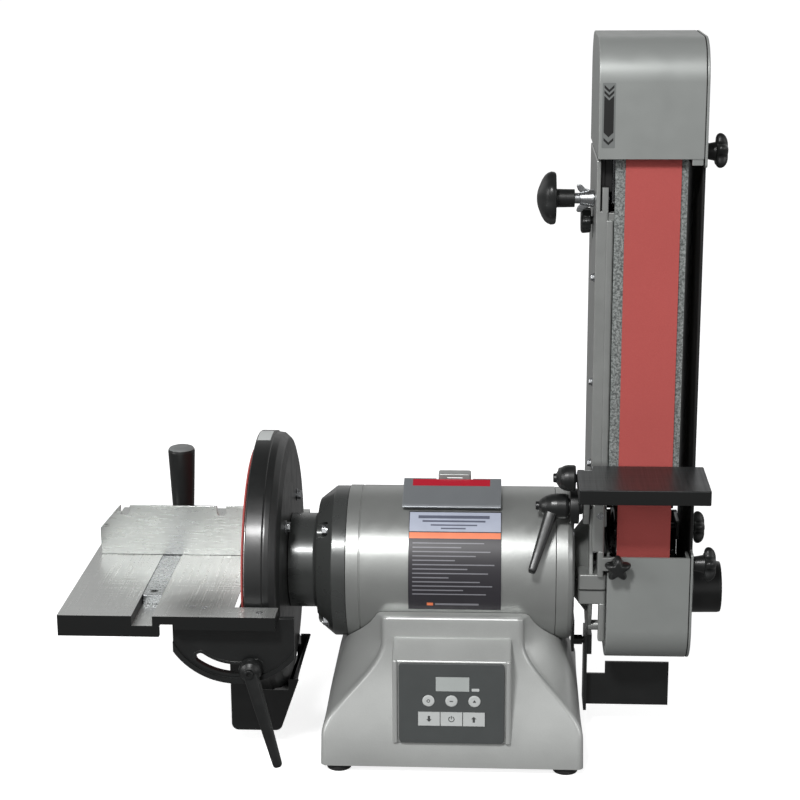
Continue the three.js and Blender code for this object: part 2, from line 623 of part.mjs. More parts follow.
function buildArm() {
  const { left, wall, front, back, top, footR } = ARM;
  const right = left + wall;
  const side = new THREE.Shape();
  side.absarc(0, 0, footR, Math.PI, Math.PI * 2, false);
  side.lineTo(back, 30);
  side.lineTo(back, top);
  side.lineTo(front, top);
  side.lineTo(front, 30);
  const plate = prism('x', side, [left, right], 10);
  const ribs = [
    box([left, 142.5], [front, -46], [57, 363]),
    box([142, 147.5], [front, -46], [57, 354.5]),
    box([136.5, 142.4], [front, -53], [362, 385.5]),
  ];
  const rearWall = box([left, 222], [back - 4, back], [36, top]);
  const hub = taper([118, 0, 0], [left + 1, 0, 0], 33, 49.5, 24);
  const ears = box([CLAMP.left, CLAMP.right], [CLAMP.front, -40], [CLAMP.low, CLAMP.high]);
  const leg = box([140.6, CLAMP.right], [CLAMP.front, -56], [-57.4, CLAMP.low + 1]);
  const knobLug = join(
    box([133, 144.5], [-71, -44], [36, 84]),
    box([138.5, 144.5], [-71, -44], [CLAMP.high - 1, 37]),
    box([138.5, 168], [-71, -66], [17, 30.5]),
  );
  const upright = box([134, 139.5], [-52, 12], [330, 505]);
  const rails = [[-52, -47], [7, 12]].map((y) => box([139, 146], y, [380, 500]));
  const braces = [105, 355].map((z) => box([left + 1, 210], [PLATEN.back + 0.5, -45], [z - 6, z + 6]));
  const springSeat = box([left + 1, 150], [-7, 9], [292, 300 - GAP]);
  const standoffSpots = [[-40, -50], [50, -20], [40, 28]];
  const standoffs = standoffSpots.map((at) => rodX(5, [left + 1, LOWER.left - GAP], at, 8));
  const lugScrew = rodY(3, [-73, -60], [140.4, 73]);
  const body = join(
    plate, ...ribs, rearWall, hub, ears, leg, knobLug, lugScrew,
    upright, ...rails, ...braces, springSeat, ...standoffs,
  );
  add(arm, 'arm_frame', cut(
    body,
    rodX(BOSS.r + 0.6, [110, left + 0.5], [0, 0], 20),
    rodX(18, [120, 150]),
    box([117, CLAMP.right + 2], [-80, -28], CLAMP.slit),
    rodX(5.4, [125, 150], [TRACK.y, TRACK.z], 10),
    box([125, 150], [TENSION.y - 4.6, TENSION.y + 4.6], [TENSION.z - TENSION.travel - 6, TENSION.z + 5]),
    rodX(STUD_R + GAP, [125, 160], [LOCK_LEVER.y, LOCK_LEVER.z], 10),
    rodY(STUD_R + GAP, [-75, -60], [GUARD_KNOB.x, GUARD_KNOB.z], 10),
  ), SILVER);

  const { low, high } = PLATEN;
  add(arm, 'platen', box([PLATEN.left, PLATEN.right], [PLATEN.front, PLATEN.back], [low, high]), GRAPHITE);
  add(arm, 'sanding_belt', beltLoop(), ABRASIVE);
}

// The band round two circles of unequal size, with the run at the front vertical.
function beltLoop() {
  const spread = (BELT.wheelR - BELT.idlerR) / Math.hypot(BELT.idlerY, BELT.idlerZ);
  const lean = Math.atan2(-BELT.idlerY, BELT.idlerZ);
  const rear = Math.asin(spread) + lean;
  const outline = (extra) => {
    const shape = new THREE.Shape();
    shape.absarc(0, 0, BELT.wheelR + extra, Math.PI, Math.PI * 2 + rear, false);
    shape.absarc(BELT.idlerY, BELT.idlerZ, BELT.idlerR + extra, rear, Math.PI, false);
    return shape;
  };
  const outer = prism('x', outline(BELT_GAP + BELT.thick), [beltLeft, beltRight], 15);
  return cut(outer, prism('x', outline(BELT_GAP), [beltLeft - 1, beltRight + 1], 15));
}

function buildCovers() {
  const { front, back, corner, left, right, low, high, wall } = COVER;
  const inside = corner - wall;
  const capOutline = roundedBox([front, back], [low, high], [0, 0, corner, corner]);
  const capHollow = roundedBox([front + wall, back - wall], [low - 5, high - wall], [0, 0, inside, inside]);
  const capOuter = prism('x', capOutline, [left, right], 6);
  const capInner = prism('x', capHollow, [left + wall, right + 5], 6);
  const topLug = box([216, right - GAP], [front + 1, -20], [low - 6, low + 9]);
  const topBore = rodX(STUD_R + GAP, [208, 232], KNOB_SPOTS.top, 10);
  add(arm, 'upper_cover', cut(join(cut(capOuter, capInner), topLug), topBore), COVER_GRAY);

  const lowOutline = roundedBox([front, back], [LOWER.low, LOWER.high], [corner, corner, 0, 0]);
  const lowHollow = roundedBox(
    [front + wall, back - wall],
    [LOWER.low + wall, LOWER.high + 5],
    [inside, inside, 0, 0],
  );
  const lowOuter = prism('x', lowOutline, [LOWER.left, right], 6);
  const lowInner = prism('x', lowHollow, [LOWER.left + wall, right + 5], 6);
  const lugs = [[front + 1, -50], [40, back - 1]].map((y) => box([right - 4, right - GAP], y, [12, 31]));
  const bores = [KNOB_SPOTS.front, KNOB_SPOTS.rear].map((at) => rodX(STUD_R + GAP, [208, 232], at, 10));
  add(arm, 'lower_guard', cut(
    join(cut(lowOuter, lowInner), ...lugs),
    ...bores,
    rodX(24, [LOWER.left - 5, LOWER.left + 5]),
    box([LOWER.left - 2, LOWER.left + wall + 1], [front - 2, -60], [14, LOWER.high + 2]),
    rodY(STUD_R + GAP, [front - 2, front + 6], [GUARD_KNOB.x, GUARD_KNOB.z], 10),
  ), COVER_GRAY);

  const knob = join(
    prism('y', lobes(13, 2.2, 5), [-95, -83]),
    rodY(7, [-83.5, front - GAP], [0, 0], 10),
    rodY(STUD_R, [front - 1, -67], [0, 0], 10),
  );
  add(arm, 'guard_knob', knob, BLACK, [GUARD_KNOB.x, 0, GUARD_KNOB.z]);
}

function buildSideCover() {
  const { inner, outer } = SIDE;
  const { front, back, corner, high } = COVER;
  const panel = prism('x', roundedBox([front, back], [LOWER.low, high], corner), [inner, outer], 6);
  const relief = box([inner - 2, outer + 2], [front - 2, -61], [LOWER.high + 4, COVER.low - 8]);
  const bores = Object.values(KNOB_SPOTS).map((at) => rodX(STUD_R + GAP, [inner - 2, outer + 2], at, 10));
  const port = [10, -27];
  add(arm, 'side_cover', cut(panel, relief, ...bores, rodX(23, [inner - 2, outer + 2], port)), COVER_GRAY);
  const flange = ringX(32, 22.5, [outer + GAP, outer + 4], port);
  const sleeve = join(ringX(26, 22.5, [outer + GAP, 265], port), flange);
  add(arm, 'dust_port', sleeve, BLACK);

  const knob = join(
    prism('x', lobes(17, 2.6, 5), [241, 252]),
    taper([outer + GAP, 0, 0], [241.5, 0, 0], 7, 9),
    rodX(STUD_R, [209.5, outer + 1], [0, 0], 10),
  );
  for (const [place, [y, z]] of Object.entries(KNOB_SPOTS)) {
    add(arm, `cover_knob_${place}`, knob, BLACK, [0, y, z]);
  }
}

// ---------------------------------------------------------------- idler, yoke, tension and tracking
function buildIdler() {
  const { left } = ARM;
  const { centre, idlerR, idlerY, idlerZ } = BELT;
  const profile = [
    [beltLeft, idlerR - 0.8], [centre, idlerR], [beltRight, idlerR - 0.8], [beltRight, idlerR - 7],
    [centre + 6, idlerR - 9], [centre + 6, 17], [beltRight, 15], [beltRight, 8.3], [beltLeft, 8.3],
    [beltLeft, 15], [centre - 6, 17], [centre - 6, idlerR - 9], [beltLeft, idlerR - 7],
  ];
  add(arm, 'idler_wheel', turned(profile), ALUMINIUM, [0, idlerY, idlerZ]);

  const yoke = join(
    prism('x', roundedBox([idlerY - 12, idlerY + 12], [362, idlerZ + 14], 6), [146.3, 151], 4),
    rodX(8, [150, 213], [idlerY, idlerZ]),
    rodX(12, [150, beltLeft - 0.8], [idlerY, idlerZ]),
    rodX(13, [beltRight + 0.8, 213], [idlerY, idlerZ], 6),
  );
  add(arm, 'idler_yoke', yoke, STEEL);

  const slide = join(
    box([139.8, 145.5], [-46.5, 6.5], [392, 478]),
    box([139.8, 145.5], [-4, 6], [335, 393]),
    rodX(STUD_R, [125, 141], [TENSION.y, TENSION.z], 10),
    taper([119.5, TENSION.y, TENSION.z], [129, TENSION.y, TENSION.z], 12.5, 11.5),
  );
  add(arm, 'tension_slide', slide, BLACK);
  add(arm, 'tension_spring', coilSpring([142.6, TENSION.y], 300, 335 - GAP), STEEL);

  const knob = join(
    taper([77.3, 0, 0], [81, 0, 0], 10, 18, 16),
    taper([81, 0, 0], [88, 0, 0], 18, 24.5, 16),
    taper([88, 0, 0], [95.3, 0, 0], 24.5, 25, 16),
    rodX(8.7, [95, 112.6]),
    rodX(5, [112, 145.2], [0, 0], 10),
    rodX(8.5, [119, left - GAP]),
    box([113.5, 121], [-1.7, 1.7], [-13, 13]),
  );
  add(arm, 'tracking_knob', knob, BLACK, [0, TRACK.y, TRACK.z]);
}

function coilSpring([x, y], low, high) {
  const turns = 5;
  const wire = 0.9;
  const coilR = 4;
  class Helix extends THREE.Curve {
    getPoint(t, target = new THREE.Vector3()) {
      const turn = t * turns * Math.PI * 2;
      const rise = low + wire + (high - low - 2 * wire) * t;
      return target.set(x + coilR * Math.cos(turn), y + coilR * Math.sin(turn), rise);
    }
  }
  const section = new THREE.Shape();
  section.absarc(0, 0, wire, 0, Math.PI * 2, false);
  const steps = turns * 7;
  const body = new THREE.ExtrudeGeometry(section, { steps, curveSegments: 2, extrudePath: new Helix() });
  return solid(body);
}

// ---------------------------------------------------------------- belt table
function buildBeltTable() {
  const bz = (z) => z - BELT_TABLE_PIVOT.z;
  const by = (y) => y - BELT_TABLE_PIVOT.y;
  const { left, right, front, back, low, top } = BELT_TABLE;
  const slab = box([left, right], [by(front), by(back)], [bz(low), bz(top)]);
  const notchFront = by(TABLE_NOTCH.front);
  const notch = box([left - 1, TABLE_NOTCH.right], [notchFront, by(back) + 1], [bz(low) - 1, bz(top) + 1]);
  const ear = join(box([118, 124.2], [notchFront - 1, 0], [bz(low), 8]), rodX(8, [118, 124.2]));
  const bore = rodX(STUD_R + GAP, [110, 140], [0, 0], 10);
  add(beltTable, 'belt_table', cut(join(cut(slab, notch), ear), bore), DARK_GROUND);

  const pivot = [BELT_TABLE_PIVOT.y, BELT_TABLE_PIVOT.z - SHAFT_Z];
  const outline = polygon([
    [-72.5, 103], [-62, 107], [-50, 88], [-43.5, 77], [-46, 58], [-58, 60], [-65, 72], [-69, 90],
  ]);
  const bracket = join(
    prism('x', outline, [124.5, 130.5]),
    rodX(8, [124.5, 130.5], pivot),
    rodX(11, [124.5, 130.5], [LOCK_LEVER.y, LOCK_LEVER.z]),
  );
  add(arm, 'belt_table_bracket', cut(
    bracket,
    rodX(STUD_R + GAP, [120, 135], pivot, 10),
    rodX(STUD_R + GAP, [120, 135], [LOCK_LEVER.y, LOCK_LEVER.z], 10),
  ), SILVER);

  const tiltTip = [105, pivot[0] + 60, pivot[1] - 12];
  const tiltLever = clampLever([98, ...pivot], [116.4, ...pivot], [130, ...pivot], tiltTip, 12.5);
  add(arm, 'belt_table_tilt_lever', tiltLever, BLACK);
  const { y, z } = LOCK_LEVER;
  const lockLever = clampLever([82, y, z], [110.6, y, z], [146, y, z], [75, y - 38, z - 55], 12);
  const washer = join(rodX(17, [111.6, 120.5], [y, z], 24), rodX(8, [110, 124.2 - GAP], [y, z]));
  add(arm, 'belt_table_lock_lever', join(lockLever, washer), BLACK);
}

// ---------------------------------------------------------------- spark deflector under the belt unit
const DEFLECTOR = { left: 130, right: 216, front: -18, back: 18, low: 27, top: 73, strip: 3, boltZ: 96 };

function buildDeflector() {
  const z = (height) => height - SHAFT_Z;
  const { left, right, front, back, low, top, strip, boltZ } = DEFLECTOR;
  const bolt = [0, z(boltZ)];
  const tab = box([117.3, 120], [-15, 15], [z(89), z(122)]);
  const hanger = box([left, left + strip], [front, back], [z(low), z(107)]);
  const clip = box([left, left + 7.6], [-14, 14], [z(86), z(107)]);
  const screen = prism('y', polygon([
    [left, z(low)], [right, z(low)], [right, z(top)], [152, z(top)], [152, z(60)], [left, z(60)],
  ]), [-2, 1]);
  const spacer = join(rodX(3.4, [119, left + 1], bolt), rodX(5.2, [119, 128.5], bolt, 6));
  add(motor, 'spark_deflector', join(tab, hanger, clip, screen, spacer), BLACK);
}

buildBase();
buildPanel();
buildMotor();
buildRotor();
buildDiscGuard();
buildHood();
buildDiscTable();
buildDiscTableLever();
buildMitre();
buildArm();
buildCovers();
buildSideCover();
buildIdler();
buildBeltTable();
buildDeflector();

// The part's origin is the middle of its footprint, on the bench.
machine.updateMatrixWorld(true);
const extent = new THREE.Box3().setFromObject(machine, true);
const middle = extent.getCenter(new THREE.Vector3());
const group = new THREE.Group();
group.add(machine);
machine.position.set(-middle.x, -middle.y, -extent.min.z);

export default group;
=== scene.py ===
# The looks of a bench-top belt and disc sander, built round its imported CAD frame.
import json
import math

import bmesh
import bpy
from mathutils import Matrix, Vector
from mathutils.geometry import tessellate_polygon


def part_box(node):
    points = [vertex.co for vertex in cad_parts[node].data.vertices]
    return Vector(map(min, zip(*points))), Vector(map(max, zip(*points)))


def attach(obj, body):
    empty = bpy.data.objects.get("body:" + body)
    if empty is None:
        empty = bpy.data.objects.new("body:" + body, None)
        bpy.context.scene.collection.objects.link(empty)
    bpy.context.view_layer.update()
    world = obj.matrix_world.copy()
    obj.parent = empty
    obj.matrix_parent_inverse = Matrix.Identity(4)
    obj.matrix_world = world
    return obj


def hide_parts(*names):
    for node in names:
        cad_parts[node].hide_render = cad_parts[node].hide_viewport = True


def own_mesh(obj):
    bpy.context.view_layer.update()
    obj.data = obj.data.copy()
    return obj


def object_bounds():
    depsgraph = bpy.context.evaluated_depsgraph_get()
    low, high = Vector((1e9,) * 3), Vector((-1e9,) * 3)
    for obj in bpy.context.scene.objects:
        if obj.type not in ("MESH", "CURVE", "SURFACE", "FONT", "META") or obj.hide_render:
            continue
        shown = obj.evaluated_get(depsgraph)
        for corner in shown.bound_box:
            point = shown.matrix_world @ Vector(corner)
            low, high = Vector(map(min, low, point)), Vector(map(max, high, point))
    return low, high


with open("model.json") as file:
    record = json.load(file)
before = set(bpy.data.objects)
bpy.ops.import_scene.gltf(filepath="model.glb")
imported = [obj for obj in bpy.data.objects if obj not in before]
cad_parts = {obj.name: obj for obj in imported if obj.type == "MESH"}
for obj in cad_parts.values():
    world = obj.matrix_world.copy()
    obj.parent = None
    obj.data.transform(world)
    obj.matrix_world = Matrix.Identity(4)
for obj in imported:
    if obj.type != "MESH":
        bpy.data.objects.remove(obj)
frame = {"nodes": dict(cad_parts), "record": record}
cad_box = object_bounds()
scene = bpy.context.scene

# ---------------------------------------------------------------- the machine's own frame
# Shapes are drawn in millimetres from the middle of the base, with the shaft along X.
MM = 0.001
record = frame["record"]
BODY = {node: body for body, nodes in record["behaviour"]["bodies"].items() for node in nodes}
SLOT = {part["node"]: part["material_slot"] for part in record["subparts"]}

base_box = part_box("base_casting")
shell_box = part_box("motor_shell")
ORIGIN = Vector((
    (base_box[0].x + base_box[1].x) / 2,
    (shell_box[0].y + shell_box[1].y) / 2,
    cad_box[0].z,
))
TO_ROW = Matrix.Translation(ORIGIN) @ Matrix.Scale(MM, 4)
ALONG = {"x": 0, "y": 1, "z": 2}


def span(node, axis):
    """Where a CAD node starts and ends along an axis, in the machine's millimetres."""
    low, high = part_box(node)
    i = ALONG[axis]
    return (low[i] - ORIGIN[i]) / MM, (high[i] - ORIGIN[i]) / MM


def middle(node, axis):
    return sum(span(node, axis)) / 2


def half(node, axis):
    low, high = span(node, axis)
    return (high - low) / 2


SHAFT_Z = middle("motor_shell", "z")
SHELL_R = half("motor_shell", "z")
SHAFT = (0, SHAFT_Z)
GAP = 0.3
STUD_R = 4
TABLE_TOP = span("disc_table", "z")[1]
SLOT_X = middle("mitre_bar", "x")
TILT_AXIS = (-202, 176)


# ---------------------------------------------------------------- drawing in the plane
def arc(r, start, end, at=(0, 0), steps=24):
    """Points on a circle, from one angle to another in degrees."""
    turns = [math.radians(start + (end - start) * i / steps) for i in range(steps + 1)]
    return [(at[0] + r * math.cos(t), at[1] + r * math.sin(t)) for t in turns]


def circle(r, at=(0, 0), steps=48):
    return arc(r, 0, 360, at, steps)[:-1]


def on_circle(r, degrees, at=(0, 0)):
    turn = math.radians(degrees)
    return at[0] + r * math.cos(turn), at[1] + r * math.sin(turn)


def rounded(points, radius, closed=True):
    """Turns each corner of a path into an arc. A point can carry its own radius as a third value."""
    result = []
    for i, point in enumerate(points):
        here = Vector(point[:2])
        size = point[2] if len(point) > 2 else radius
        if size <= 0 or (not closed and i in (0, len(points) - 1)):
            result.append(tuple(here))
            continue
        before = Vector(points[i - 1][:2]) - here
        after = Vector(points[(i + 1) % len(points)][:2]) - here
        bend = before.angle(after)
        if bend > math.radians(176):
            result.append(tuple(here))
            continue
        reach = min(size / math.tan(bend / 2), 0.48 * before.length, 0.48 * after.length)
        radius_here = reach * math.tan(bend / 2)
        inward = (before.normalized() + after.normalized()).normalized()
        centre = here + inward * (radius_here / math.sin(bend / 2))
        a = here + before.normalized() * reach - centre
        b = here + after.normalized() * reach - centre
        turn = a.angle(b)
        steps = 3 if radius_here < 2 else max(4, round(math.degrees(turn) / 7))
        for k in range(steps + 1):
            t = k / steps
            spoke = (a * math.sin((1 - t) * turn) + b * math.sin(t * turn)) / math.sin(turn)
            result.append(tuple(centre + spoke))
    return result


def rectangle(u, v, corner=0.0):
    corners = [(u[0], v[0]), (u[1], v[0]), (u[1], v[1]), (u[0], v[1])]
    return rounded(corners, corner) if corner else corners


def arc_slot(r, half_width, start, end, at=(0, 0)):
    """A curved slot of even width with round ends."""
    return [
        *arc(r + half_width, start, end, at, 20),
        *arc(half_width, end, end + 180, on_circle(r, end, at), 10)[1:-1],
        *arc(r - half_width, end, start, at, 20),
        *arc(half_width, start + 180, start + 360, on_circle(r, start, at), 10)[1:-1],
    ]


# ---------------------------------------------------------------- solids, as meshes in millimetres
SET = {
    "x": lambda u, v, w: (w, u, v),
    "y": lambda u, v, w: (u, w, v),
    "z": lambda u, v, w: (u, v, w),
}


def mesh_from(points, faces):
    mesh = bpy.data.meshes.new("shape")
    mesh.from_pydata(points, [], faces)
    work = bmesh.new()
    work.from_mesh(mesh)
    bmesh.ops.remove_doubles(work, verts=work.verts, dist=0.002)
    bmesh.ops.recalc_face_normals(work, faces=work.faces)
    work.to_mesh(mesh)
    work.free()
    return mesh


def lathe(axis, profile, at=(0, 0), fillet=0.0, sides=96):
    """A profile of (along, radius) points turned about an axis; it closes on the axis or on itself."""
    ring = profile[0][1] > 0 or profile[-1][1] > 0
    path = rounded(profile, fillet, ring)
    count = len(path)
    points = []
    for i in range(sides):
        turn = 2 * math.pi * i / sides
        for along, r in path:
            points.append(SET[axis](at[0] + r * math.cos(turn), at[1] + r * math.sin(turn), along))
    faces = []
    for i in range(sides):
        j = (i + 1) % sides
        for k in range(count if ring else count - 1):
            n = (k + 1) % count
            faces.append((i * count + k, i * count + n, j * count + n, j * count + k))
    return mesh_from(points, faces)


def rod(axis, r, low, high, at=(0, 0), fillet=0.4, sides=48):
    return lathe(axis, [(low, 0), (low, r), (high, r), (high, 0)], at, fillet, sides)


def loft(rings, caps=True):
    """Skins rings of equally many points, and closes both ends."""
    count = len(rings[0])
    points = [p for ring in rings for p in ring]
    faces = []
    for i in range(len(rings) - 1):
        for k in range(count):
            n = (k + 1) % count
            faces.append((i * count + k, i * count + n, (i + 1) * count + n, (i + 1) * count + k))
    if caps:
        last = (len(rings) - 1) * count
        faces.append(tuple(range(count)))
        faces.append(tuple(last + k for k in range(count)))
    return mesh_from(points, faces)


def inset(loop, distance):
    """Moves a loop's points towards the material on its left."""
    moved = []
    for i, here in enumerate(loop):
        into = (here - loop[i - 1]).normalized()
        out = (loop[(i + 1) % len(loop)] - here).normalized()
        a = Vector((-into.y, into.x))
        b = Vector((-out.y, out.x))
        moved.append(here + (a + b) * (distance / max(0.3, 1 + a.dot(b))))
    return moved


def area(loop):
    return sum(loop[i - 1].cross(here) for i, here in enumerate(loop)) / 2


def plate(axis, outlines, low, high, edge=0.4):
    """Outlines across an axis, the outside first and then the holes, with softened edges."""
    loops = []
    for i, outline in enumerate(outlines):
        loop = [Vector(p) for p in outline]
        loop = [p for k, p in enumerate(loop) if (p - loop[k - 1]).length > 0.004]
        if (area(loop) > 0) != (i == 0):
            loop.reverse()
        loops.append(loop)
    soft = [math.radians(30 * i) for i in range(4)]
    start = [(low + edge * (1 - math.cos(t)), edge * (1 - math.sin(t))) for t in soft]
    end = [(high + low - w, depth) for w, depth in reversed(start)]
    points, faces = [], []
    total = sum(len(loop) for loop in loops)
    levels = start + end if edge else [(low, 0), (high, 0)]
    for w, depth in levels:
        for loop in loops:
            shown = inset(loop, depth) if depth else loop
            points += [SET[axis](p.x, p.y, w) for p in shown]
    for i in range(len(levels) - 1):
        first = i * total
        for loop in loops:
            for k in range(len(loop)):
                n = (k + 1) % len(loop)
                faces.append((first + k, first + n, first + total + n, first + total + k))
            first += len(loop)
    flat = [[p.to_3d() for p in (inset(loop, edge) if edge else loop)] for loop in loops]
    cap = tessellate_polygon(flat)
    last = (len(levels) - 1) * total
    for a, b, c in cap:
        faces.append((a, b, c))
        faces.append((last + a, last + b, last + c))
    return mesh_from(points, faces)


def block(x, y, z, edge=0.6):
    return plate("z", [rectangle(x, y, 1.7 * edge)], z[0], z[1], edge)


def combined(mesh, tools, operation):
    target = bpy.data.objects.new("target", mesh)
    scene.collection.objects.link(target)
    helpers = []
    for tool in tools:
        helper = bpy.data.objects.new("tool", tool)
        scene.collection.objects.link(helper)
        helpers.append(helper)
        step = target.modifiers.new("step", "BOOLEAN")
        step.operation = operation
        step.object = helper
        step.solver = "EXACT"
    graph = bpy.context.evaluated_depsgraph_get()
    result = bpy.data.meshes.new_from_object(target.evaluated_get(graph))
    for item in [target, *helpers]:
        bpy.data.objects.remove(item)
    return result


def joined(first, *others):
    return combined(first, others, "UNION")


def cut(first, *others):
    return combined(first, others, "DIFFERENCE")


def heap(*meshes):
    """Puts meshes that don't touch into one mesh."""
    work = bmesh.new()
    for mesh in meshes:
        work.from_mesh(mesh)
    mesh = bpy.data.meshes.new("heap")
    work.to_mesh(mesh)
    work.free()
    return mesh


def wire(path, r, sides=12):
    """A round wire along a path of points, with flat ends."""
    points = [Vector(p) for p in path]
    rings = []
    side = (points[1] - points[0]).cross(Vector((0, 0, 1))).normalized()
    for i, here in enumerate(points):
        along = (points[min(i + 1, len(points) - 1)] - points[max(i - 1, 0)]).normalized()
        side = (side - along * side.dot(along)).normalized()
        other = along.cross(side)
        turns = [2 * math.pi * k / sides for k in range(sides)]
        rings.append([tuple(here + r * (side * math.cos(t) + other * math.sin(t))) for t in turns])
    return loft(rings)


def lobed(axis, at, low, high, head, r, depth, count):
    """A knob head with round lobes, whose outline runs from low to high."""
    rings = []
    for t, share in head:
        along = low + (high - low) * t
        ring = []
        for i in range(16 * count):
            turn = 2 * math.pi * i / (16 * count)
            reach = share * (r - depth + depth * math.cos(count * turn))
            u = at[0] + reach * math.cos(turn + math.pi / 2)
            v = at[1] + reach * math.sin(turn + math.pi / 2)
            ring.append(SET[axis](u, v, along))
        rings.append(ring)
    return loft(rings)


# outlines of knob heads, as (share of the thickness, share of the radius)
DOME = [(0, 0.5), (0.06, 0.66), (0.16, 0.8), (0.32, 0.92), (0.5, 0.985), (0.68, 1), (0.84, 0.96),
        (0.95, 0.87), (1, 0.76)]
MUSHROOM = [(0, 0.12), (0.03, 0.25), (0.08, 0.38), (0.16, 0.53), (0.26, 0.7), (0.4, 0.86), (0.55, 0.95),
            (0.72, 1), (0.88, 0.99), (0.97, 0.95), (1, 0.88)]
BUTTON = [(0, 0.8), (0.06, 0.92), (0.16, 0.99), (0.3, 1), (0.85, 0.96), (0.95, 0.92), (1, 0.85)]


def grip_bar(start, end, wide, thick, across):
    """A tapering bar of rounded section: wide and thick are (at start, at end), across is its width's way."""
    a, b = Vector(start), Vector(end)
    along = (b - a).normalized()
    side = (Vector(across) - along * along.dot(Vector(across))).normalized()
    other = along.cross(side)
    length = (b - a).length
    tip = min(wide[1], thick[1]) / 2
    stations = [(length * i / 10, 1.0) for i in range(10)]
    for i in range(6):
        t = math.radians(90 * i / 5)
        stations.append((length - tip + tip * math.sin(t), max(0.12, math.cos(t)) ** 0.5))
    rings = []
    for station, share in stations:
        t = station / length
        w = (wide[0] + (wide[1] - wide[0]) * t) / 2 * share
        h = (thick[0] + (thick[1] - thick[0]) * t) / 2 * share
        ring = []
        for i in range(28):
            turn = 2 * math.pi * i / 28
            c, s = math.cos(turn), math.sin(turn)
            u = math.copysign(abs(c) ** 0.55, c) * w
            v = math.copysign(abs(s) ** 0.55, s) * h
            ring.append(tuple(a + along * station + side * u + other * v))
        rings.append(ring)
    return loft(rings)


def hexagon(r, at=(0, 0), turn=0):
    return [on_circle(r, turn + 60 * i, at) for i in range(6)]


def hex_plate(axis, r, low, high, at, corner=0.8, edge=0.6, turn=0):
    return plate(axis, [rounded(hexagon(r, at, turn), corner)], low, high, edge)


def hex_bolt(axis, at, low, high, r=5.0):
    """A bolt head on a washer; low is the side that faces out when below high."""
    sign = 1 if high > low else -1
    washer = sorted((high - sign * 1.2, high))
    head = sorted((low, high - sign * 1.0))
    return joined(
        hex_plate(axis, r, *head, at, 0.6, 0.5, 10),
        rod(axis, r * 1.25, washer[0], washer[1], at, 0.3, 36),
    )


# ---------------------------------------------------------------- material nodes
LOOKS = {}


def srgb(red, green, blue):
    """Screen values from 0 to 255 as linear light."""
    values = [v / 255 for v in (red, green, blue)]
    return (*[v / 12.92 if v <= 0.04045 else ((v + 0.055) / 1.055) ** 2.4 for v in values], 1)


class Look:
    """A node-based material, built up a node at a time."""

    def __init__(self, name):
        self.material = bpy.data.materials.new(name)
        self.material.use_nodes = True
        self.tree = self.material.node_tree
        self.shader = self.tree.nodes["Principled BSDF"]
        self.place = self.node("TexCoord").outputs["Object"]
        LOOKS[name] = self.material

    def node(self, kind, values=None, **settings):
        made = self.tree.nodes.new("ShaderNode" + kind)
        for key, value in settings.items():
            setattr(made, key, value)
        for key, value in (values or {}).items():
            self.put(made.inputs[key], value)
        return made

    def put(self, socket, value):
        if isinstance(value, bpy.types.NodeSocket):
            self.tree.links.new(value, socket)
        else:
            socket.default_value = value

    def set(self, **values):
        names = {"colour": "Base Color", "rough": "Roughness", "metal": "Metallic", "coat": "Coat Weight",
                 "coat_rough": "Coat Roughness", "ior": "IOR", "sheen": "Sheen Weight", "normal": "Normal",
                 "specular": "Specular IOR Level"}
        for key, value in values.items():
            self.put(self.shader.inputs[names[key]], value)
        return self

    def noise(self, scale, detail=3.0, stretch=None, rough=0.5):
        place = self.place
        if stretch:
            place = self.node("Mapping", {"Vector": place, "Scale": stretch}).outputs[0]
        made = self.node("TexNoise", {"Vector": place, "Scale": scale, "Detail": detail, "Roughness": rough})
        return made.outputs["Fac"]

    def cells(self, scale):
        return self.node("TexVoronoi", {"Vector": self.place, "Scale": scale}).outputs["Distance"]

    def waves(self, scale, distortion):
        made = self.node("TexWave", {"Vector": self.place, "Scale": scale, "Distortion": distortion})
        return made.outputs["Fac"]

    def ramp(self, value, low, high, out_low=0.0, out_high=1.0):
        made = self.node("MapRange", {"Value": value, "From Min": low, "From Max": high,
                                      "To Min": out_low, "To Max": out_high})
        return made.outputs["Result"]

    def math(self, operation, a, b=0.0):
        made = self.node("Math", {0: a, 1: b}, operation=operation)
        return made.outputs[0]

    def mix(self, share, a, b):
        """Mixes two colours."""
        made = self.node("Mix", {0: share, 6: a, 7: b}, data_type="RGBA")
        return made.outputs[2]

    def clouded(self, value, colour, low, high):
        """A colour that drifts between two strengths with a noise."""
        return self.mix(self.ramp(value, 0.3, 0.7), shade(colour, low), shade(colour, high))

    def bump(self, height, strength, distance, under=None):
        values = {"Height": height, "Strength": strength, "Distance": distance}
        if under is not None:
            values["Normal"] = under
        return self.node("Bump", values).outputs["Normal"]

    def edges(self, radius, low=0.02, high=0.25):
        """1 along sharp convex and concave edges, 0 on the flats."""
        soft = self.node("Bevel", {"Radius": radius}, samples=4).outputs[0]
        true = self.node("NewGeometry").outputs["Normal"]
        dot = self.node("VectorMath", {0: soft, 1: true}, operation="DOT_PRODUCT").outputs["Value"]
        return self.ramp(self.math("SUBTRACT", 1.0, dot), low, high)


def shade(colour, factor):
    return (*[min(1.0, c * factor) for c in colour[:3]], 1)


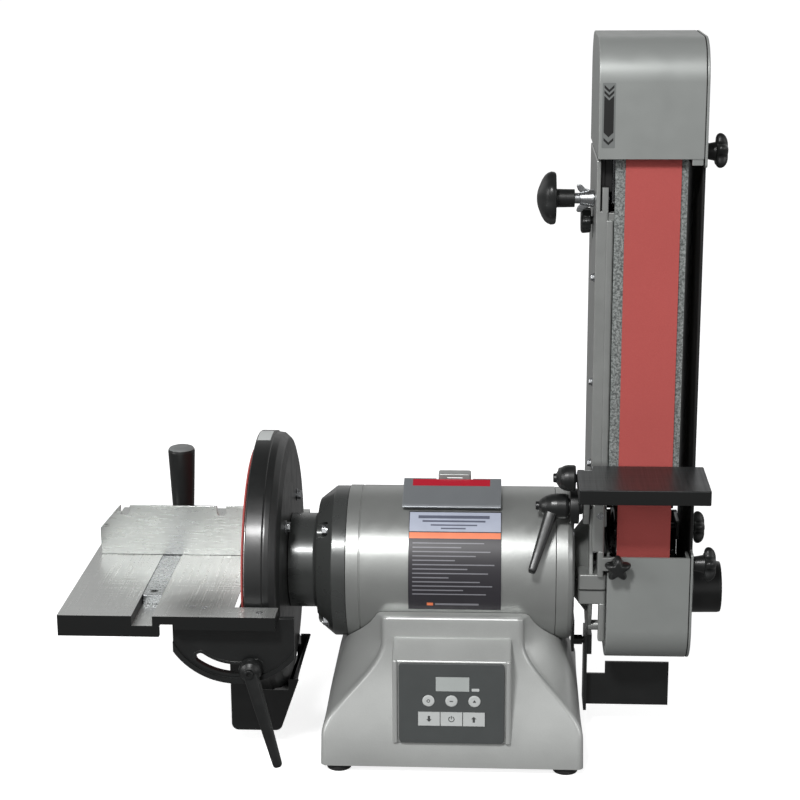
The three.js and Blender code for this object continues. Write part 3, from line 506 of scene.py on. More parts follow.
def paint(name, colour, rough, metal=0.0, coat=0.0, tone=0.08, grain=1400, strength=0.12,
          depth=0.0001, worn=0.0):
    """Enamel over metal: fine orange peel, faint cloudiness, and a little wear along edges."""
    look = Look(name)
    tint = look.clouded(look.noise(9, 4), colour, 1 - tone, 1 + tone)
    if worn:
        scuffed = look.math("MULTIPLY", look.edges(0.0012), look.ramp(look.noise(240, 3), 0.42, 0.62))
        tint = look.mix(look.math("MULTIPLY", scuffed, worn), tint, shade(colour, 2.2))
    rough_noise = look.ramp(look.noise(60, 3), 0.3, 0.7, rough - 0.05, rough + 0.06)
    normal = look.bump(look.noise(grain, 2), strength, depth)
    look.set(colour=tint, rough=rough_noise, metal=metal, normal=normal, coat=coat, coat_rough=0.15)
    return look


def silver_paint(name, colour, metal):
    """Silver enamel with fine flakes over a casting's uneven skin."""
    look = Look(name)
    flakes = look.ramp(look.noise(2600, 1), 0.35, 0.65)
    tint = look.clouded(look.noise(11, 5), colour, 0.93, 1.05)
    tint = look.mix(look.math("MULTIPLY", flakes, 0.25), tint, shade(colour, 1.35))
    rough = look.ramp(look.noise(70, 3), 0.3, 0.7, 0.3, 0.4)
    cast = look.bump(look.noise(260, 4), 0.10, 0.0004)
    normal = look.bump(look.noise(1500, 2), 0.12, 0.0001, cast)
    look.set(colour=tint, rough=rough, metal=metal, normal=normal, coat=0.18, coat_rough=0.22)


def ground_top(name, colour, side, rough, sides_rough, metal, dark_spot=None):
    """Ground iron on the faces that look up, black enamel on the others."""
    look = Look(name)
    lines = look.noise(160, 4, (0.06, 6, 6))
    cross = look.noise(110, 3, (5, 0.12, 5))
    cloud = look.ramp(look.noise(7, 5), 0.3, 0.72)
    tint = look.mix(cloud, shade(colour, 0.92), shade(colour, 1.05))
    tint = look.mix(look.ramp(lines, 0.35, 0.7, 0.0, 0.16), tint, shade(colour, 0.7))
    stain = look.ramp(look.noise(26, 5, None, 0.7), 0.62, 0.8, 0.0, 0.14)
    tint = look.mix(stain, tint, shade(colour, 0.6))
    # a round darker patch on the top around the given point, fading out from 12 to 45 mm away
    if dark_spot:
        away = look.node("VectorMath", {0: look.place, 1: dark_spot}, operation="DISTANCE").outputs["Value"]
        wobble = look.math("ADD", away, look.ramp(look.noise(45, 3), 0, 1, -0.01, 0.01))
        tint = look.mix(look.ramp(wobble, 0.012, 0.045, 0.55, 0.0), tint, srgb(70, 68, 66))
    normal_out = look.node("TexCoord").outputs["Normal"]
    up = look.ramp(look.node("SeparateXYZ", {0: normal_out}).outputs["Z"], 0.4, 0.7)
    rough_top = look.ramp(look.math("ADD", lines, cross), 0.7, 1.3, rough - 0.06, rough + 0.1)
    rough_all = look.math("ADD", look.math("MULTIPLY", up, rough_top),
                          look.math("MULTIPLY", look.math("SUBTRACT", 1.0, up), sides_rough))
    ground = look.bump(look.math("ADD", lines, cross), 0.08, 0.0001)
    look.set(
        colour=look.mix(up, side, tint),
        rough=rough_all,
        metal=look.math("MULTIPLY", up, metal),
        normal=look.bump(look.noise(700, 2), 0.06, 0.0001, ground),
    )


def bare_metal(name, colour, rough, stretch, tone=0.08):
    look = Look(name)
    brushed = look.noise(300, 4, stretch)
    tint = look.clouded(look.noise(18, 4), colour, 1 - tone, 1 + tone)
    tint = look.mix(look.ramp(brushed, 0.35, 0.7, 0, 0.2), tint, shade(colour, 0.75))
    look.set(
        colour=tint,
        rough=look.ramp(brushed, 0.3, 0.7, rough - 0.06, rough + 0.08),
        metal=1,
        normal=look.bump(brushed, 0.08, 0.0001),
    )


def black_plastic():
    look = Look("black_plastic")
    tint = look.clouded(look.noise(40, 3), srgb(26, 27, 27), 0.85, 1.2)
    normal = look.bump(look.noise(1100, 2), 0.12, 0.0001)
    look.set(colour=tint, rough=look.ramp(look.noise(90, 3), 0.3, 0.7, 0.28, 0.42), normal=normal)


def abrasive():
    look = Look("abrasive")
    colour = srgb(184, 84, 80)
    grit = look.cells(2400)
    tint = look.clouded(look.noise(6, 4), colour, 0.93, 1.06)
    tint = look.mix(look.ramp(grit, 0.1, 0.6, 0.0, 0.35), tint, shade(colour, 0.6))
    sparkle = look.ramp(look.noise(3800, 1), 0.62, 0.72, 0.0, 0.35)
    tint = look.mix(sparkle, tint, srgb(225, 150, 140))
    normal = look.bump(grit, 0.35, 0.0003)
    look.set(colour=tint, rough=0.78, normal=normal, specular=0.35)


def cloth_back():
    look = Look("cloth_back")
    weave = look.waves(420.0, 0.6)
    colour = srgb(150, 118, 92)
    tint = look.mix(look.ramp(weave, 0, 1, 0, 0.5), colour, shade(colour, 0.7))
    look.set(colour=tint, rough=0.9, normal=look.bump(weave, 0.25, 0.0002))


def graphite_pad():
    look = Look("graphite_pad")
    grains = look.ramp(look.noise(420, 3, None, 0.7), 0.4, 0.62)
    tint = look.mix(grains, srgb(84, 88, 87), srgb(156, 161, 159))
    pits = look.ramp(look.cells(900), 0.0, 0.35, 0.55, 0.0)
    tint = look.mix(pits, tint, srgb(48, 50, 50))
    look.set(colour=tint, rough=0.62, metal=0.15, normal=look.bump(look.noise(700, 3), 0.4, 0.0003))


def rubber():
    look = Look("rubber")
    tint = look.mix(look.ramp(look.noise(120, 3), 0.3, 0.7), srgb(24, 24, 24), srgb(40, 40, 40))
    look.set(colour=tint, rough=0.75, normal=look.bump(look.noise(900, 2), 0.25, 0.0002))


def film(name, colour, rough, tone=0.05, coat=0.0):
    """Printed film or moulded plate: almost even, with a fine matt grain."""
    look = Look(name)
    tint = look.clouded(look.noise(60, 3), colour, 1 - tone, 1 + tone)
    normal = look.bump(look.noise(2600, 1), 0.08, 0.0001)
    look.set(colour=tint, rough=rough, normal=normal, coat=coat, coat_rough=0.08)


def windings():
    look = Look("copper_windings")
    strands = look.waves(260.0, 1.5)
    tint = look.mix(strands, srgb(150, 84, 48), srgb(200, 128, 82))
    look.set(colour=tint, rough=0.4, metal=0.85, normal=look.bump(strands, 0.4, 0.0004))


def make_looks():
    silver_paint("silver_paint", srgb(160, 162, 160), 0.6)
    silver_paint("cast_silver", srgb(184, 186, 184), 0.4)
    paint("cover_paint", srgb(150, 153, 151), 0.4, 0.35, 0.1, 0.03, 1700, 0.1)
    paint("dark_paint", srgb(80, 82, 81), 0.3, 0.35, 0.3, 0.06, 900, 0.1, 0.0002, 0.25)
    paint("black_paint", srgb(25, 26, 26), 0.36, 0.0, 0.2, 0.12, 800, 0.2, 0.0002, 0.3)
    # near-black: painted shade on the faces inside the arm and the covers, and the black print of the
    # direction sign
    paint("black_print_and_painted_shade", srgb(13, 13, 13), 0.6, 0.0, 0.0, 0.1, 900, 0.1)
    black_plastic()
    # the point on the disc table's top where a round darker patch sits
    dark_spot = tuple(ORIGIN + Vector((-234, -131, TABLE_TOP)) * MM)
    ground_top("ground_iron", srgb(204, 206, 204), srgb(17, 18, 18), 0.3, 0.4, 0.75, dark_spot)
    ground_top("dark_ground_iron", srgb(84, 86, 87), srgb(18, 19, 19), 0.36, 0.38, 0.85)
    bare_metal("aluminium", srgb(200, 202, 200), 0.3, (0.3, 3, 3))
    bare_metal("steel", srgb(176, 178, 180), 0.26, (1, 1, 4))
    windings()
    abrasive()
    cloth_back()
    graphite_pad()
    rubber()
    film("panel", srgb(74, 77, 77), 0.5, 0.04)
    film("key", srgb(196, 199, 198), 0.42, 0.03)
    film("lcd", srgb(178, 183, 181), 0.12, 0.03, 0.5)
    film("label", srgb(46, 44, 49), 0.42)
    film("label_head", srgb(174, 180, 196), 0.4)
    film("label_band", srgb(236, 128, 84), 0.4)
    film("label_line", srgb(128, 128, 134), 0.45)
    film("label_ink", srgb(92, 96, 112), 0.45)
    film("ink", srgb(70, 72, 72), 0.5)
    film("plaque", srgb(178, 26, 46), 0.3, 0.04, 0.3)
    paint("plaque_gray", srgb(150, 154, 158), 0.34, 0.55, 0.15, 0.04, 1500, 0.08)
    film("circuit", srgb(38, 74, 54), 0.4, 0.2)
    film("handle_cap", srgb(120, 122, 122), 0.4)
    paint("cover_dark", srgb(122, 125, 124), 0.42, 0.3)


# ---------------------------------------------------------------- pieces on the frame
def piece(name, mesh, slot, node, replaces=(), inks=(), smooth=36):
    """A mesh becomes a piece that rides with a CAD node's body and takes a slot's finish."""
    mesh.transform(TO_ROW)
    mesh.name = name
    mesh.materials.clear()
    for ink in (LOOKS[slot], *[LOOKS[i] for i in inks]):
        mesh.materials.append(ink)
    mesh.shade_smooth()
    mesh.set_sharp_from_angle(angle=math.radians(smooth))
    thing = bpy.data.objects.new(name, mesh)
    scene.collection.objects.link(thing)
    even = thing.modifiers.new("even", "WEIGHTED_NORMAL")
    even.keep_sharp = True
    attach(thing, BODY[node])
    if replaces:
        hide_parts(*replaces)
    return thing


def stand_in(node, mesh, inks=(), slot=None, smooth=36):
    """A fine mesh that is shown instead of its CAD node."""
    return piece(node + "_fine", mesh, slot or SLOT[node], node, [node], inks, smooth)


def keep(node, width=0.6):
    """A flat-sided CAD node stays, with its edges softened and its own finish."""
    thing = frame["nodes"][node]
    thing.data.materials.clear()
    thing.data.materials.append(LOOKS[SLOT[node]])
    thing.data.shade_smooth()
    soft = thing.modifiers.new("soft", "BEVEL")
    soft.width = width * MM
    soft.segments = 2
    soft.limit_method = "ANGLE"
    soft.angle_limit = math.radians(33)
    soft.harden_normals = True


def ink_faces(thing, index, chosen):
    """Gives the faces for which chosen(centre in mm, normal) is true another of the piece's materials."""
    for face in thing.data.polygons:
        if chosen((face.center - ORIGIN) / MM, face.normal):
            face.material_index = index


# ---------------------------------------------------------------- base
BASE_LOW, BASE_HIGH = 8, 151
BASE = {"half_bottom": 127, "half_top": 69, "front_bottom": 115, "front_top": 85, "wall": 6}


def ease(t):
    t = min(1.0, max(0.0, t))
    return t * t * (3 - 2 * t)


def base_ring(z, shrink, corner=6.0):
    """One level of the base in plan: a straight face with round corners and a flank that swells."""
    t = (z - BASE_LOW) / (BASE_HIGH - BASE_LOW)
    low, high = BASE["half_bottom"], BASE["half_top"]
    face = low - 2 * t - (low - high - 2) * ease((t - 0.2) / 0.62) - shrink
    flank = low - 44 * max(0.0, t) ** 2.2 - shrink
    depth = BASE["front_bottom"] - (BASE["front_bottom"] - BASE["front_top"]) * ease(t / 0.9) - shrink
    reach = 0.45 * depth
    turns = [math.radians(90 * i / 6) for i in range(7)]
    quarter = [(face - corner + corner * math.sin(a), -depth + corner - corner * math.cos(a)) for a in turns]
    for i in range(1, 13):
        swell = math.sin(i / 12 * math.pi / 2)
        quarter.append((face + (flank - face) * swell, -depth + corner + (depth - corner - reach) * i / 12))
    right = quarter + [(x, -y) for x, y in reversed(quarter)]
    around = right + [(-x, y) for x, y in reversed(right)]
    return [(x, y, z) for x, y in around]


def base_body(shrink, low, high, soft=0.0):
    levels = [low + (high - low) * i / 40 for i in range(41)]
    rings = [base_ring(z, shrink) for z in levels if z < high - soft]
    if not soft:
        return loft([*rings, base_ring(high, shrink)])
    for i in range(1, 7):
        turn = math.radians(15 * i)
        rings.append(base_ring(high - soft + soft * math.sin(turn), shrink + soft * (1 - math.cos(turn))))
    return loft(rings)


PANEL_LOW, PANEL_HIGH = span("control_panel", "z")
PANEL_FRONT, PANEL_BACK = span("control_panel", "y")
PANEL_HALF = half("control_panel", "x")


def build_base():
    ledge = PANEL_HIGH + 14
    face = PANEL_BACK + GAP
    outline = [(-70, PANEL_LOW - 4), (-112, PANEL_LOW - 4), (face, PANEL_LOW), (face, PANEL_HIGH + 1),
               (-88, ledge), (-70, ledge)]
    boss = plate("x", [rounded(outline, 2.5)], -57, 57, 2.2)
    body = cut(
        joined(base_body(0, BASE_LOW, BASE_HIGH, 4.0), boss),
        base_body(BASE["wall"], BASE_LOW - 0.5, 128),
        rod("x", SHELL_R + 0.6, -140, 140, SHAFT, 0, 160),
        rod("z", 12, 90, 140, (0, 0), 0),
        rod("y", 9, 90, 130, (60, 50), 0),
    )
    stand_in("base_casting", body, slot="cast_silver", smooth=40)
    # raised strips at the panel's two sides
    for name, side in (("left", -1), ("right", 1)):
        x = sorted((side * (PANEL_HALF + 1.2), side * (PANEL_HALF + 6.2)))
        strip = block(x, (PANEL_BACK - 2.4, PANEL_BACK + 3), (PANEL_LOW - 1, PANEL_HIGH + 2), 1.1)
        piece("panel_strip_" + name, strip, "cast_silver", "base_casting")
    for node in ("foot_front_left", "foot_front_right", "foot_rear_left", "foot_rear_right"):
        low, high = span(node, "z")
        profile = [(low, 0), (low, 8), (low + 0.8, 12), (4, 12), (high, 10), (high, 0)]
        stand_in(node, lathe("z", profile, (middle(node, "x"), middle(node, "y")), 0.8, 48))
    at = (60, 50)
    gland = [(114.6, 4), (114.6, 14), (119, 14), (120, 12), (120, 10), (131, 8.5), (132, 7.5), (132, 4)]
    nut = plate("y", [rounded(hexagon(12.5, at), 1), circle(9, at)], 120.6, 125, 0.5)
    inlet = joined(lathe("y", gland, at, 0.5, 64), nut)
    stand_in("cord_inlet", inlet)
    keep("base_plate", 0.4)
    keep("drive_controller", 0.8)


# ---------------------------------------------------------------- control panel
ROUND_KEYS = {"key_mode": "ring", "key_set": "dash", "key_reverse": "tri"}


def mark(at, kind, size):
    """Generic signs for the keys, as flat outlines in (x, z)."""
    x, z = at
    if kind == "dash":
        return [rectangle((x - size, x + size), (z - 0.45, z + 0.45))]
    if kind == "tri":
        return [[(x - size, z - 0.6 * size), (x + size, z - 0.6 * size), (x, z + size)]]
    if kind in ("up", "down"):
        s = 1 if kind == "up" else -1
        points = [(-0.35, -1), (0.35, -1), (0.35, 0.1), (0.8, 0.1), (0, 1), (-0.8, 0.1), (-0.35, 0.1)]
        return [[(x + u * size, z + s * v * size) for u, v in points]]
    if kind == "power":
        return [arc_slot(size, 0.42, 120, 420, at), rectangle((x - 0.42, x + 0.42), (z, z + 1.3 * size))]
    return [circle(size, at, 24), circle(size * 0.6, at, 24)]


def build_panel():
    wells = []
    for node in ROUND_KEYS:
        at = (middle(node, "x"), middle(node, "z"))
        wells.append(rod("y", half(node, "x") + GAP, PANEL_FRONT - 1, PANEL_FRONT + 1.6, at, 0))
    for node in ("key_slower", "key_power", "key_faster"):
        x, z = span(node, "x"), span(node, "z")
        opening = rectangle((x[0] - GAP, x[1] + GAP), (z[0] - GAP, z[1] + GAP))
        wells.append(plate("y", [opening], PANEL_FRONT - 1, PANEL_FRONT + 1.6, 0))
    x, z = span("lcd_window", "x"), span("lcd_window", "z")
    window = rectangle((x[0] - GAP, x[1] + GAP), (z[0] - GAP, z[1] + GAP))
    wells.append(plate("y", [window], PANEL_FRONT - 1, PANEL_FRONT + 1.5, 0))
    outline = rectangle((-PANEL_HALF, PANEL_HALF), (PANEL_LOW, PANEL_HIGH), 4)
    face = plate("y", [outline], PANEL_FRONT, PANEL_BACK, 0.7)
    stand_in("control_panel", cut(face, *wells))
    keep("lcd_window", 0.15)
    outline = rectangle((x[1] + 2.2, x[1] + 9.6), (z[0] + 0.2, z[0] + 3), 0.8)
    light = plate("y", [outline], PANEL_FRONT - 0.12, PANEL_FRONT + 0.2, 0)
    piece("panel_indicator", light, "key", "control_panel")

    for node, kind in ROUND_KEYS.items():
        at = (middle(node, "x"), middle(node, "z"))
        r = half(node, "x")
        low, high = span(node, "y")
        dish = [(high, 0), (high, r), (low + 0.4, r), (low + 0.1, r - 0.7), (low, r - 2), (low + 0.12, 0)]
        stand_in(node, lathe("y", dish, at, 0.12, 48))
        sign(node, mark(at, kind, 1.7), low)
    for node, kind in (("key_slower", "down"), ("key_power", "power"), ("key_faster", "up")):
        keep(node, 0.3)
        low = span(node, "y")[0]
        sign(node, mark((middle(node, "x"), middle(node, "z")), kind, 3.1 if kind != "power" else 2.6), low)


def sign(node, outlines, front):
    """A thin printed sign on the front of a key."""
    if len(outlines) == 2 and len(outlines[0]) == len(outlines[1]):
        shape = plate("y", outlines, front - 0.06, front + 0.2, 0)
    else:
        shape = heap(*[plate("y", [outline], front - 0.06, front + 0.2, 0) for outline in outlines])
    piece(node + "_sign", shape, "ink", node)


# ---------------------------------------------------------------- motor
def build_motor():
    left, right = span("motor_shell", "x")
    inner = 71.5
    r = SHELL_R
    groove = lambda x: [(x - 0.8, r), (x - 0.4, r - 0.7), (x + 0.4, r - 0.7), (x + 0.8, r)]
    profile = [(left, inner), (left, r), *groove(-91), (right, r), (right, inner)]
    stand_in("motor_shell", lathe("x", profile, SHAFT, 0.25, 144))

    profile = [
        (-104.3, 70), (-104.3, 74.8), (-118, 74.8, 2.2), (-134, 62, 2.2), (-134, 54, 2.2), (-137.5, 47, 2.2),
        (-163, 47), (-163, 30), (-136, 30), (-132, 14), (-128.3, 14), (-128.3, 26.3), (-112, 26.3),
        (-112, 32), (-124, 34), (-124, 56, 2.2), (-114, 70),
    ]
    build_bell("left", lathe("x", profile, SHAFT, 0.6, 144), 66, (8.5, -150, -122.5), (-128.5, -122.5, 5.0))
    profile = [
        (99.3, 70), (99.3, 75.5), (111, 75.5, 2), (115, 73.5, 2), (117, 69), (117, 30), (130, 30), (130, 14),
        (113.3, 14), (113.3, 26.3), (101, 26.3), (101, 32), (107, 34), (107, 64), (103, 70),
    ]
    build_bell("right", lathe("x", profile, SHAFT, 0.8, 144), 64, (8, 113, 120), (117, 113, 4.6))

    for node in ("stator", "bearing_left", "bearing_right"):
        keep(node, 0.3)
    lug = cut(
        joined(
            block((-16, 16), (-4, 10), (SHAFT_Z + 77, SHAFT_Z + 92.5), 1.2),
            block((-16, 16), (-9, 16), (SHAFT_Z + 73, SHAFT_Z + 79), 0.8),
        ),
        block((-8, 8), (-6, 12), (SHAFT_Z + 84, SHAFT_Z + 89), 0.8),
        rod("x", SHELL_R + GAP, -60, 60, SHAFT, 0, 144),
    )
    stand_in("accessory_bracket", lug)
    build_nameplate()
    build_label()


def build_bell(side, shape, bolt_circle, pocket, bolt):
    """An end bell of the motor with four bolts in pockets: pocket is (r, low, high), bolt (low, high, r)."""
    node = side + "_end_bell"
    spots = [on_circle(bolt_circle, turn, SHAFT) for turn in (45, 135, 225, 315)]
    stand_in(node, cut(shape, *[rod("x", *pocket, at, 0.5) for at in spots]))
    for i, at in enumerate(spots):
        piece(f"{side}_bell_bolt_{i + 1}", hex_bolt("x", at, *bolt), "steel", node)


def build_nameplate():
    z = SHAFT_Z
    face = [(-44, z + 70.5, 1), (-41, z + 73, 1.2), (-3, z + 88, 1), (-1.2, z + 85, 1), (-5, z + 78.4),
            (-30, z + 72), (-38, z + 68)]
    low, high = span("nameplate", "x")
    shape = cut(
        plate("x", [rounded(face, 0.8)], low, high, 0.6),
        rod("x", SHELL_R + GAP, -60, 60, SHAFT, 0, 144),
        block((-18, 18), (-11, 20), (z + 70, z + 96), 0.4),
    )
    stand_in("nameplate", shape, slot="plaque_gray")
    slope = Vector((38, 15)).normalized()
    normal = Vector((-slope.y, slope.x))
    start = Vector((-41, z + 73))
    length = Vector((38, 15)).length

    def patch(name, x, share, slot):
        """A thin flat piece on the sloping face, between two shares of its height."""
        a = start + slope * (length * share[0])
        b = start + slope * (length * share[1])
        outline = [a - normal * 0.5, b - normal * 0.5, b + normal * 0.15, a + normal * 0.15]
        piece(name, plate("x", [outline], x[0], x[1], 0), slot, "nameplate")

    patch("nameplate_stripe", (low + 9, high - 11), (0.7, 0.95), "plaque")


def arc_patch(x, turns, low, high, steps):
    """A thin curved block on the front of the motor, between two elevations in degrees."""
    start, end = (180 - turns[1], 180 - turns[0])
    outline = arc(high, start, end, SHAFT, steps) + arc(low, end, start, SHAFT, steps)
    return plate("x", [outline], x[0], x[1], 0)


def build_label():
    left, right = span("rating_label", "x")
    low, high = -17.6, 58.6
    base = SHELL_R + GAP
    face = base + 0.6
    stand_in("rating_label", arc_patch((left, right), (low, high), base, face, 40))

    def printed(name, slot, blocks, proud=0.07):
        """Ink in blocks (left, right, top, bottom), the last two as shares of the label's height."""
        patches = []
        for x0, x1, top, bottom in blocks:
            turns = (high - (high - low) * bottom, high - (high - low) * top)
            steps = max(2, round((turns[1] - turns[0]) / 2))
            patches.append(arc_patch((x0, x1), turns, face - 0.1, face + proud, steps))
        piece(name, heap(*patches), slot, "rating_label")

    printed("label_head", "label_head", [(left + 0.6, right - 0.6, 0.012, 0.225)])
    printed("label_band", "label_band", [(left + 0.6, right - 0.6, 0.235, 0.295)])
    printed("label_head_lines", "label_ink", [
        (-34, 35, 0.05, 0.085), (-30, 31, 0.105, 0.125), (-22, 23, 0.15, 0.165), (-12, 12, 0.185, 0.2),
    ], 0.1)
    ends = [30, 8, 36, 22, 2, 40, 14, 34, -4, 26, 38, 10, 32]
    tops = [0.335 + 0.041 * i for i in range(len(ends))]
    lines = [(left + 4, end, top, top + 0.011) for end, top in zip(ends, tops)]
    printed("label_body_lines", "label_line", lines)
    printed("label_mark", "label_band", [(-25, -19, 0.925, 0.955)])
    printed("label_foot", "label_line", [(-17, 25, 0.93, 0.95)])


# ---------------------------------------------------------------- rotor
BELT_LEFT, BELT_RIGHT = span("sanding_belt", "x")
BELT_MID = (BELT_LEFT + BELT_RIGHT) / 2
BORE = 11.3


def wheel(at, rim, crown, lip, web, hub, hole):
    """A belt wheel: a crowned rim with lips, a web of half thickness web, and a hub."""
    low, mid, high = BELT_LEFT, BELT_MID, BELT_RIGHT
    inner = rim - lip
    return lathe("x", [
        (low, rim - crown), (mid, rim), (high, rim - crown), (high, inner), (mid + web, inner - 2),
        (mid + web, hub + 2), (high, hub), (high, hole), (low, hole), (low, hub), (mid - web, hub + 2),
        (mid - web, inner - 2), (low, inner),
    ], at, 0.8, 96)


def build_rotor():
    core = rod("x", 41.5, -56, 56, SHAFT, 1, 64)
    nut = hex_plate("x", 15, 208.8, 218.8, SHAFT, 1.2, 0.8, 30)
    shaft = lathe("x", [(-188, 0), (-188, 11), (219, 11), (220, 10), (220, 0)], SHAFT, 0.4, 64)
    stand_in("motor_rotor", joined(shaft, core, nut))
    left, back = -198, -188.5
    r = half("disc_plate", "z")
    profile = [
        (left, 0), (left, r - 0.8), (left + 0.8, r), (back, r), (back, 24), (-172, 22), (-172, BORE),
        (back, BORE), (back, 0),
    ]
    stand_in("disc_plate", lathe("x", profile, SHAFT, 0.3, 160))
    low, high = span("sanding_disc", "x")
    stand_in("sanding_disc", rod("x", r, low, high, SHAFT, 0.3, 160))
    stand_in("drive_wheel", wheel(SHAFT, 60, 0.6, 8, 5, 18, BORE))


# ---------------------------------------------------------------- disc guard, hood and its table's clamp
LOCK = on_circle(57.5, -76, TILT_AXIS)


def build_guard():
    front, back = -195, -163.3
    r, inner = 130, 126
    drum = lathe("x", [
        (front, inner, 0.6), (front, r, 1.4), (-179, r, 1.0), (-178, 128.6, 0.4), (-176.5, 128.6, 0.4),
        (-172, 128, 3), (-166, 122.5, 5), (back, 112, 3), (back, 34, 0.8), (-167, 34, 0.8), (-167, 112, 1),
        (-172, 121, 1), (-178, inner, 1),
    ], SHAFT, 0.6, 192)
    bosses = cut(rod("y", 12, -134.3, 134.3, LOCK, 1.2, 48), rod("x", inner + 1, -230, -150, SHAFT, 0, 96))
    bolt = joined(
        rod("y", STUD_R, 130, 150, LOCK, 0.5),
        hex_plate("y", 9, 144, 152, LOCK, 0.8, 0.8),
        rod("y", 10.5, 141.4, 144.4, LOCK, 0.4),
    )
    shape = cut(
        joined(drum, bosses, bolt),
        rod("y", STUD_R + GAP, -140, -100, LOCK, 0),
        block((-190, -168), (-45, 45), (SHAFT_Z - 140, SHAFT_Z - 80), 1.5),
    )
    stand_in("disc_guard", shape)
    # a small blank sticker on the rim's top
    turns = (82, 97)
    outline = arc(r + 0.35, *turns, SHAFT, 14) + arc(r - 0.2, *reversed(turns), SHAFT, 14)
    piece("guard_sticker", plate("x", [outline], -193.5, -180.5, 0), "key", "disc_guard")
    spots = [on_circle(73, turn, SHAFT) for turn in (45, 135, 225, 315)]
    for i, at in enumerate(spots):
        screw = hex_bolt("x", at, back + 4.6, back - 0.2, 5)
        piece(f"guard_screw_{i + 1}", screw, "steel", "disc_guard")


def build_hood():
    left, low = span("dust_hood", "x")[0], span("dust_hood", "z")[0]
    high = 120
    depth = 60
    wall = 3

    def outline(by, corner):
        return rounded([
            (left + by, low + by, corner), (-172 - by / 2, low + by, corner), (-152 - by, 75, 4),
            (-152 - by, 122 - by, 3), (-162 + by, 128 - by, 2), (-200, 128 - by, 0), (-200, high + 1, 0),
            (left + by, high + (1 if by else 0), 0),
        ], 0)

    port_at = (-192, 52)
    shell = cut(
        plate("y", [outline(0, 7)], -depth, depth, 1.6),
        plate("y", [outline(wall, 4)], -depth + wall, depth - wall, 0.6),
        rod("y", 25, depth - 10, depth + 30, port_at, 0),
        rod("x", 130.6, -195.3, -163, SHAFT, 0, 192),
        rod("x", 120.3, -206, -150, SHAFT, 0, 160),
    )
    port = lathe("y", [
        (depth - 0.4, 25), (depth - 0.4, 27.9), (depth + 25, 27.4), (depth + 25, 25),
    ], port_at, 0.7, 80)
    whole = joined(shell, port)
    stand_in("dust_hood", biggest(whole))


def biggest(mesh):
    """Keeps a mesh's largest connected part."""
    work = bmesh.new()
    work.from_mesh(mesh)
    left = set(work.verts)
    groups = []
    while left:
        stack = [left.pop()]
        group = set(stack)
        while stack:
            for edge in stack.pop().link_edges:
                for vert in edge.verts:
                    if vert in left:
                        left.remove(vert)
                        group.add(vert)
                        stack.append(vert)
        groups.append(group)
    most = max(groups, key=len)
    bmesh.ops.delete(work, geom=[v for v in work.verts if v not in most], context="VERTS")
    work.to_mesh(mesh)
    work.free()
    return mesh


def screw_head(axis, at, face, r, sign=-1, rise=0.5):
    """A low countersunk head with a cross slot, standing a little proud of a face on its sign side."""
    top = face + sign * rise
    low, high = sorted((top, face - sign * 0.4))
    head = lathe(axis, [(low, 0), (low, r), (high, r), (high, 0)], at, 0.25, 32)
    slots = []
    for turn in (30, 120):
        a = on_circle(r * 0.72, turn, at)
        b = on_circle(r * 0.72, turn + 180, at)
        way = Vector((b[0] - a[0], b[1] - a[1])).normalized() * (r * 0.13)
        side = (-way.y, way.x)
        outline = [(a[0] + side[0], a[1] + side[1]), (a[0] - side[0], a[1] - side[1]),
                   (b[0] - side[0], b[1] - side[1]), (b[0] + side[0], b[1] + side[1])]
        deep = sorted((top + sign * 0.2, top - sign * 0.45))
        slots.append(plate(axis, [outline], deep[0], deep[1], 0))
    return cut(head, *slots)


# ---------------------------------------------------------------- disc table
def build_disc_table():
    keep("disc_table", 0.8)
    spots = [(-243, -134), (-231, -136), (-178, -148), (-178, 148), (-243, 134), (-231, 136)]
    for i, at in enumerate(spots):
        piece(f"table_screw_{i + 1}", screw_head("z", at, TABLE_TOP, 3.4, 1, 0.12), "steel", "disc_table")
    for node, side in (("trunnion_front", -1), ("trunnion_rear", 1)):
        stand_in(node, trunnion(side))
    x, z = LOCK
    lever("disc_table_lever", (x, -157, z), (x, -144, z), (x, -116, z), (x + 26, -162, z - 92), 11)


def trunnion(side):
    """A hanging plate with an arc-shaped lower edge, a raised rim, a curved slot and a flange."""
    x0 = TILT_AXIS[0]
    inner, outer = side * 135, side * 141
    top = TABLE_TOP - 8 - GAP
    start, end, r = 214, 320, 72

    def outline(radius, drop):
        curve = arc(radius, start, end, TILT_AXIS, 40)
        return [*curve, (curve[-1][0], top - drop), (curve[0][0], top - drop)]

    low, high = sorted((inner, outer))
    body = plate("y", [rounded(outline(r, 0), 0)], low, high, 0.9)
    low, high = sorted((inner, outer + side * 2.5))
    band = cut(
        plate("y", [outline(r, 12)], low, high, 0.9),
        rod("y", r - 5, *sorted((inner - side, outer + side * 6)), TILT_AXIS, 0, 96),
    )
    low, high = sorted((inner, side * 150))
    flange = block((x0 - 60, x0 + 39), (low, high), (top - 4, top), 0.8)
    slot = arc_slot(57.5, STUD_R + 0.7, -76 - 45 - 5, -76 + 5, TILT_AXIS)
    low, high = sorted((inner - side, outer + side * 5))
    lip_outer = arc_slot(57.5, STUD_R + 3.6, -76 - 45 - 5, -76 + 5, TILT_AXIS)
    lip = plate("y", [lip_outer], *sorted((outer - side, outer + side * 0.9)), 0.4)
    return cut(joined(body, band, flange, lip), plate("y", [slot], low, high, 0))


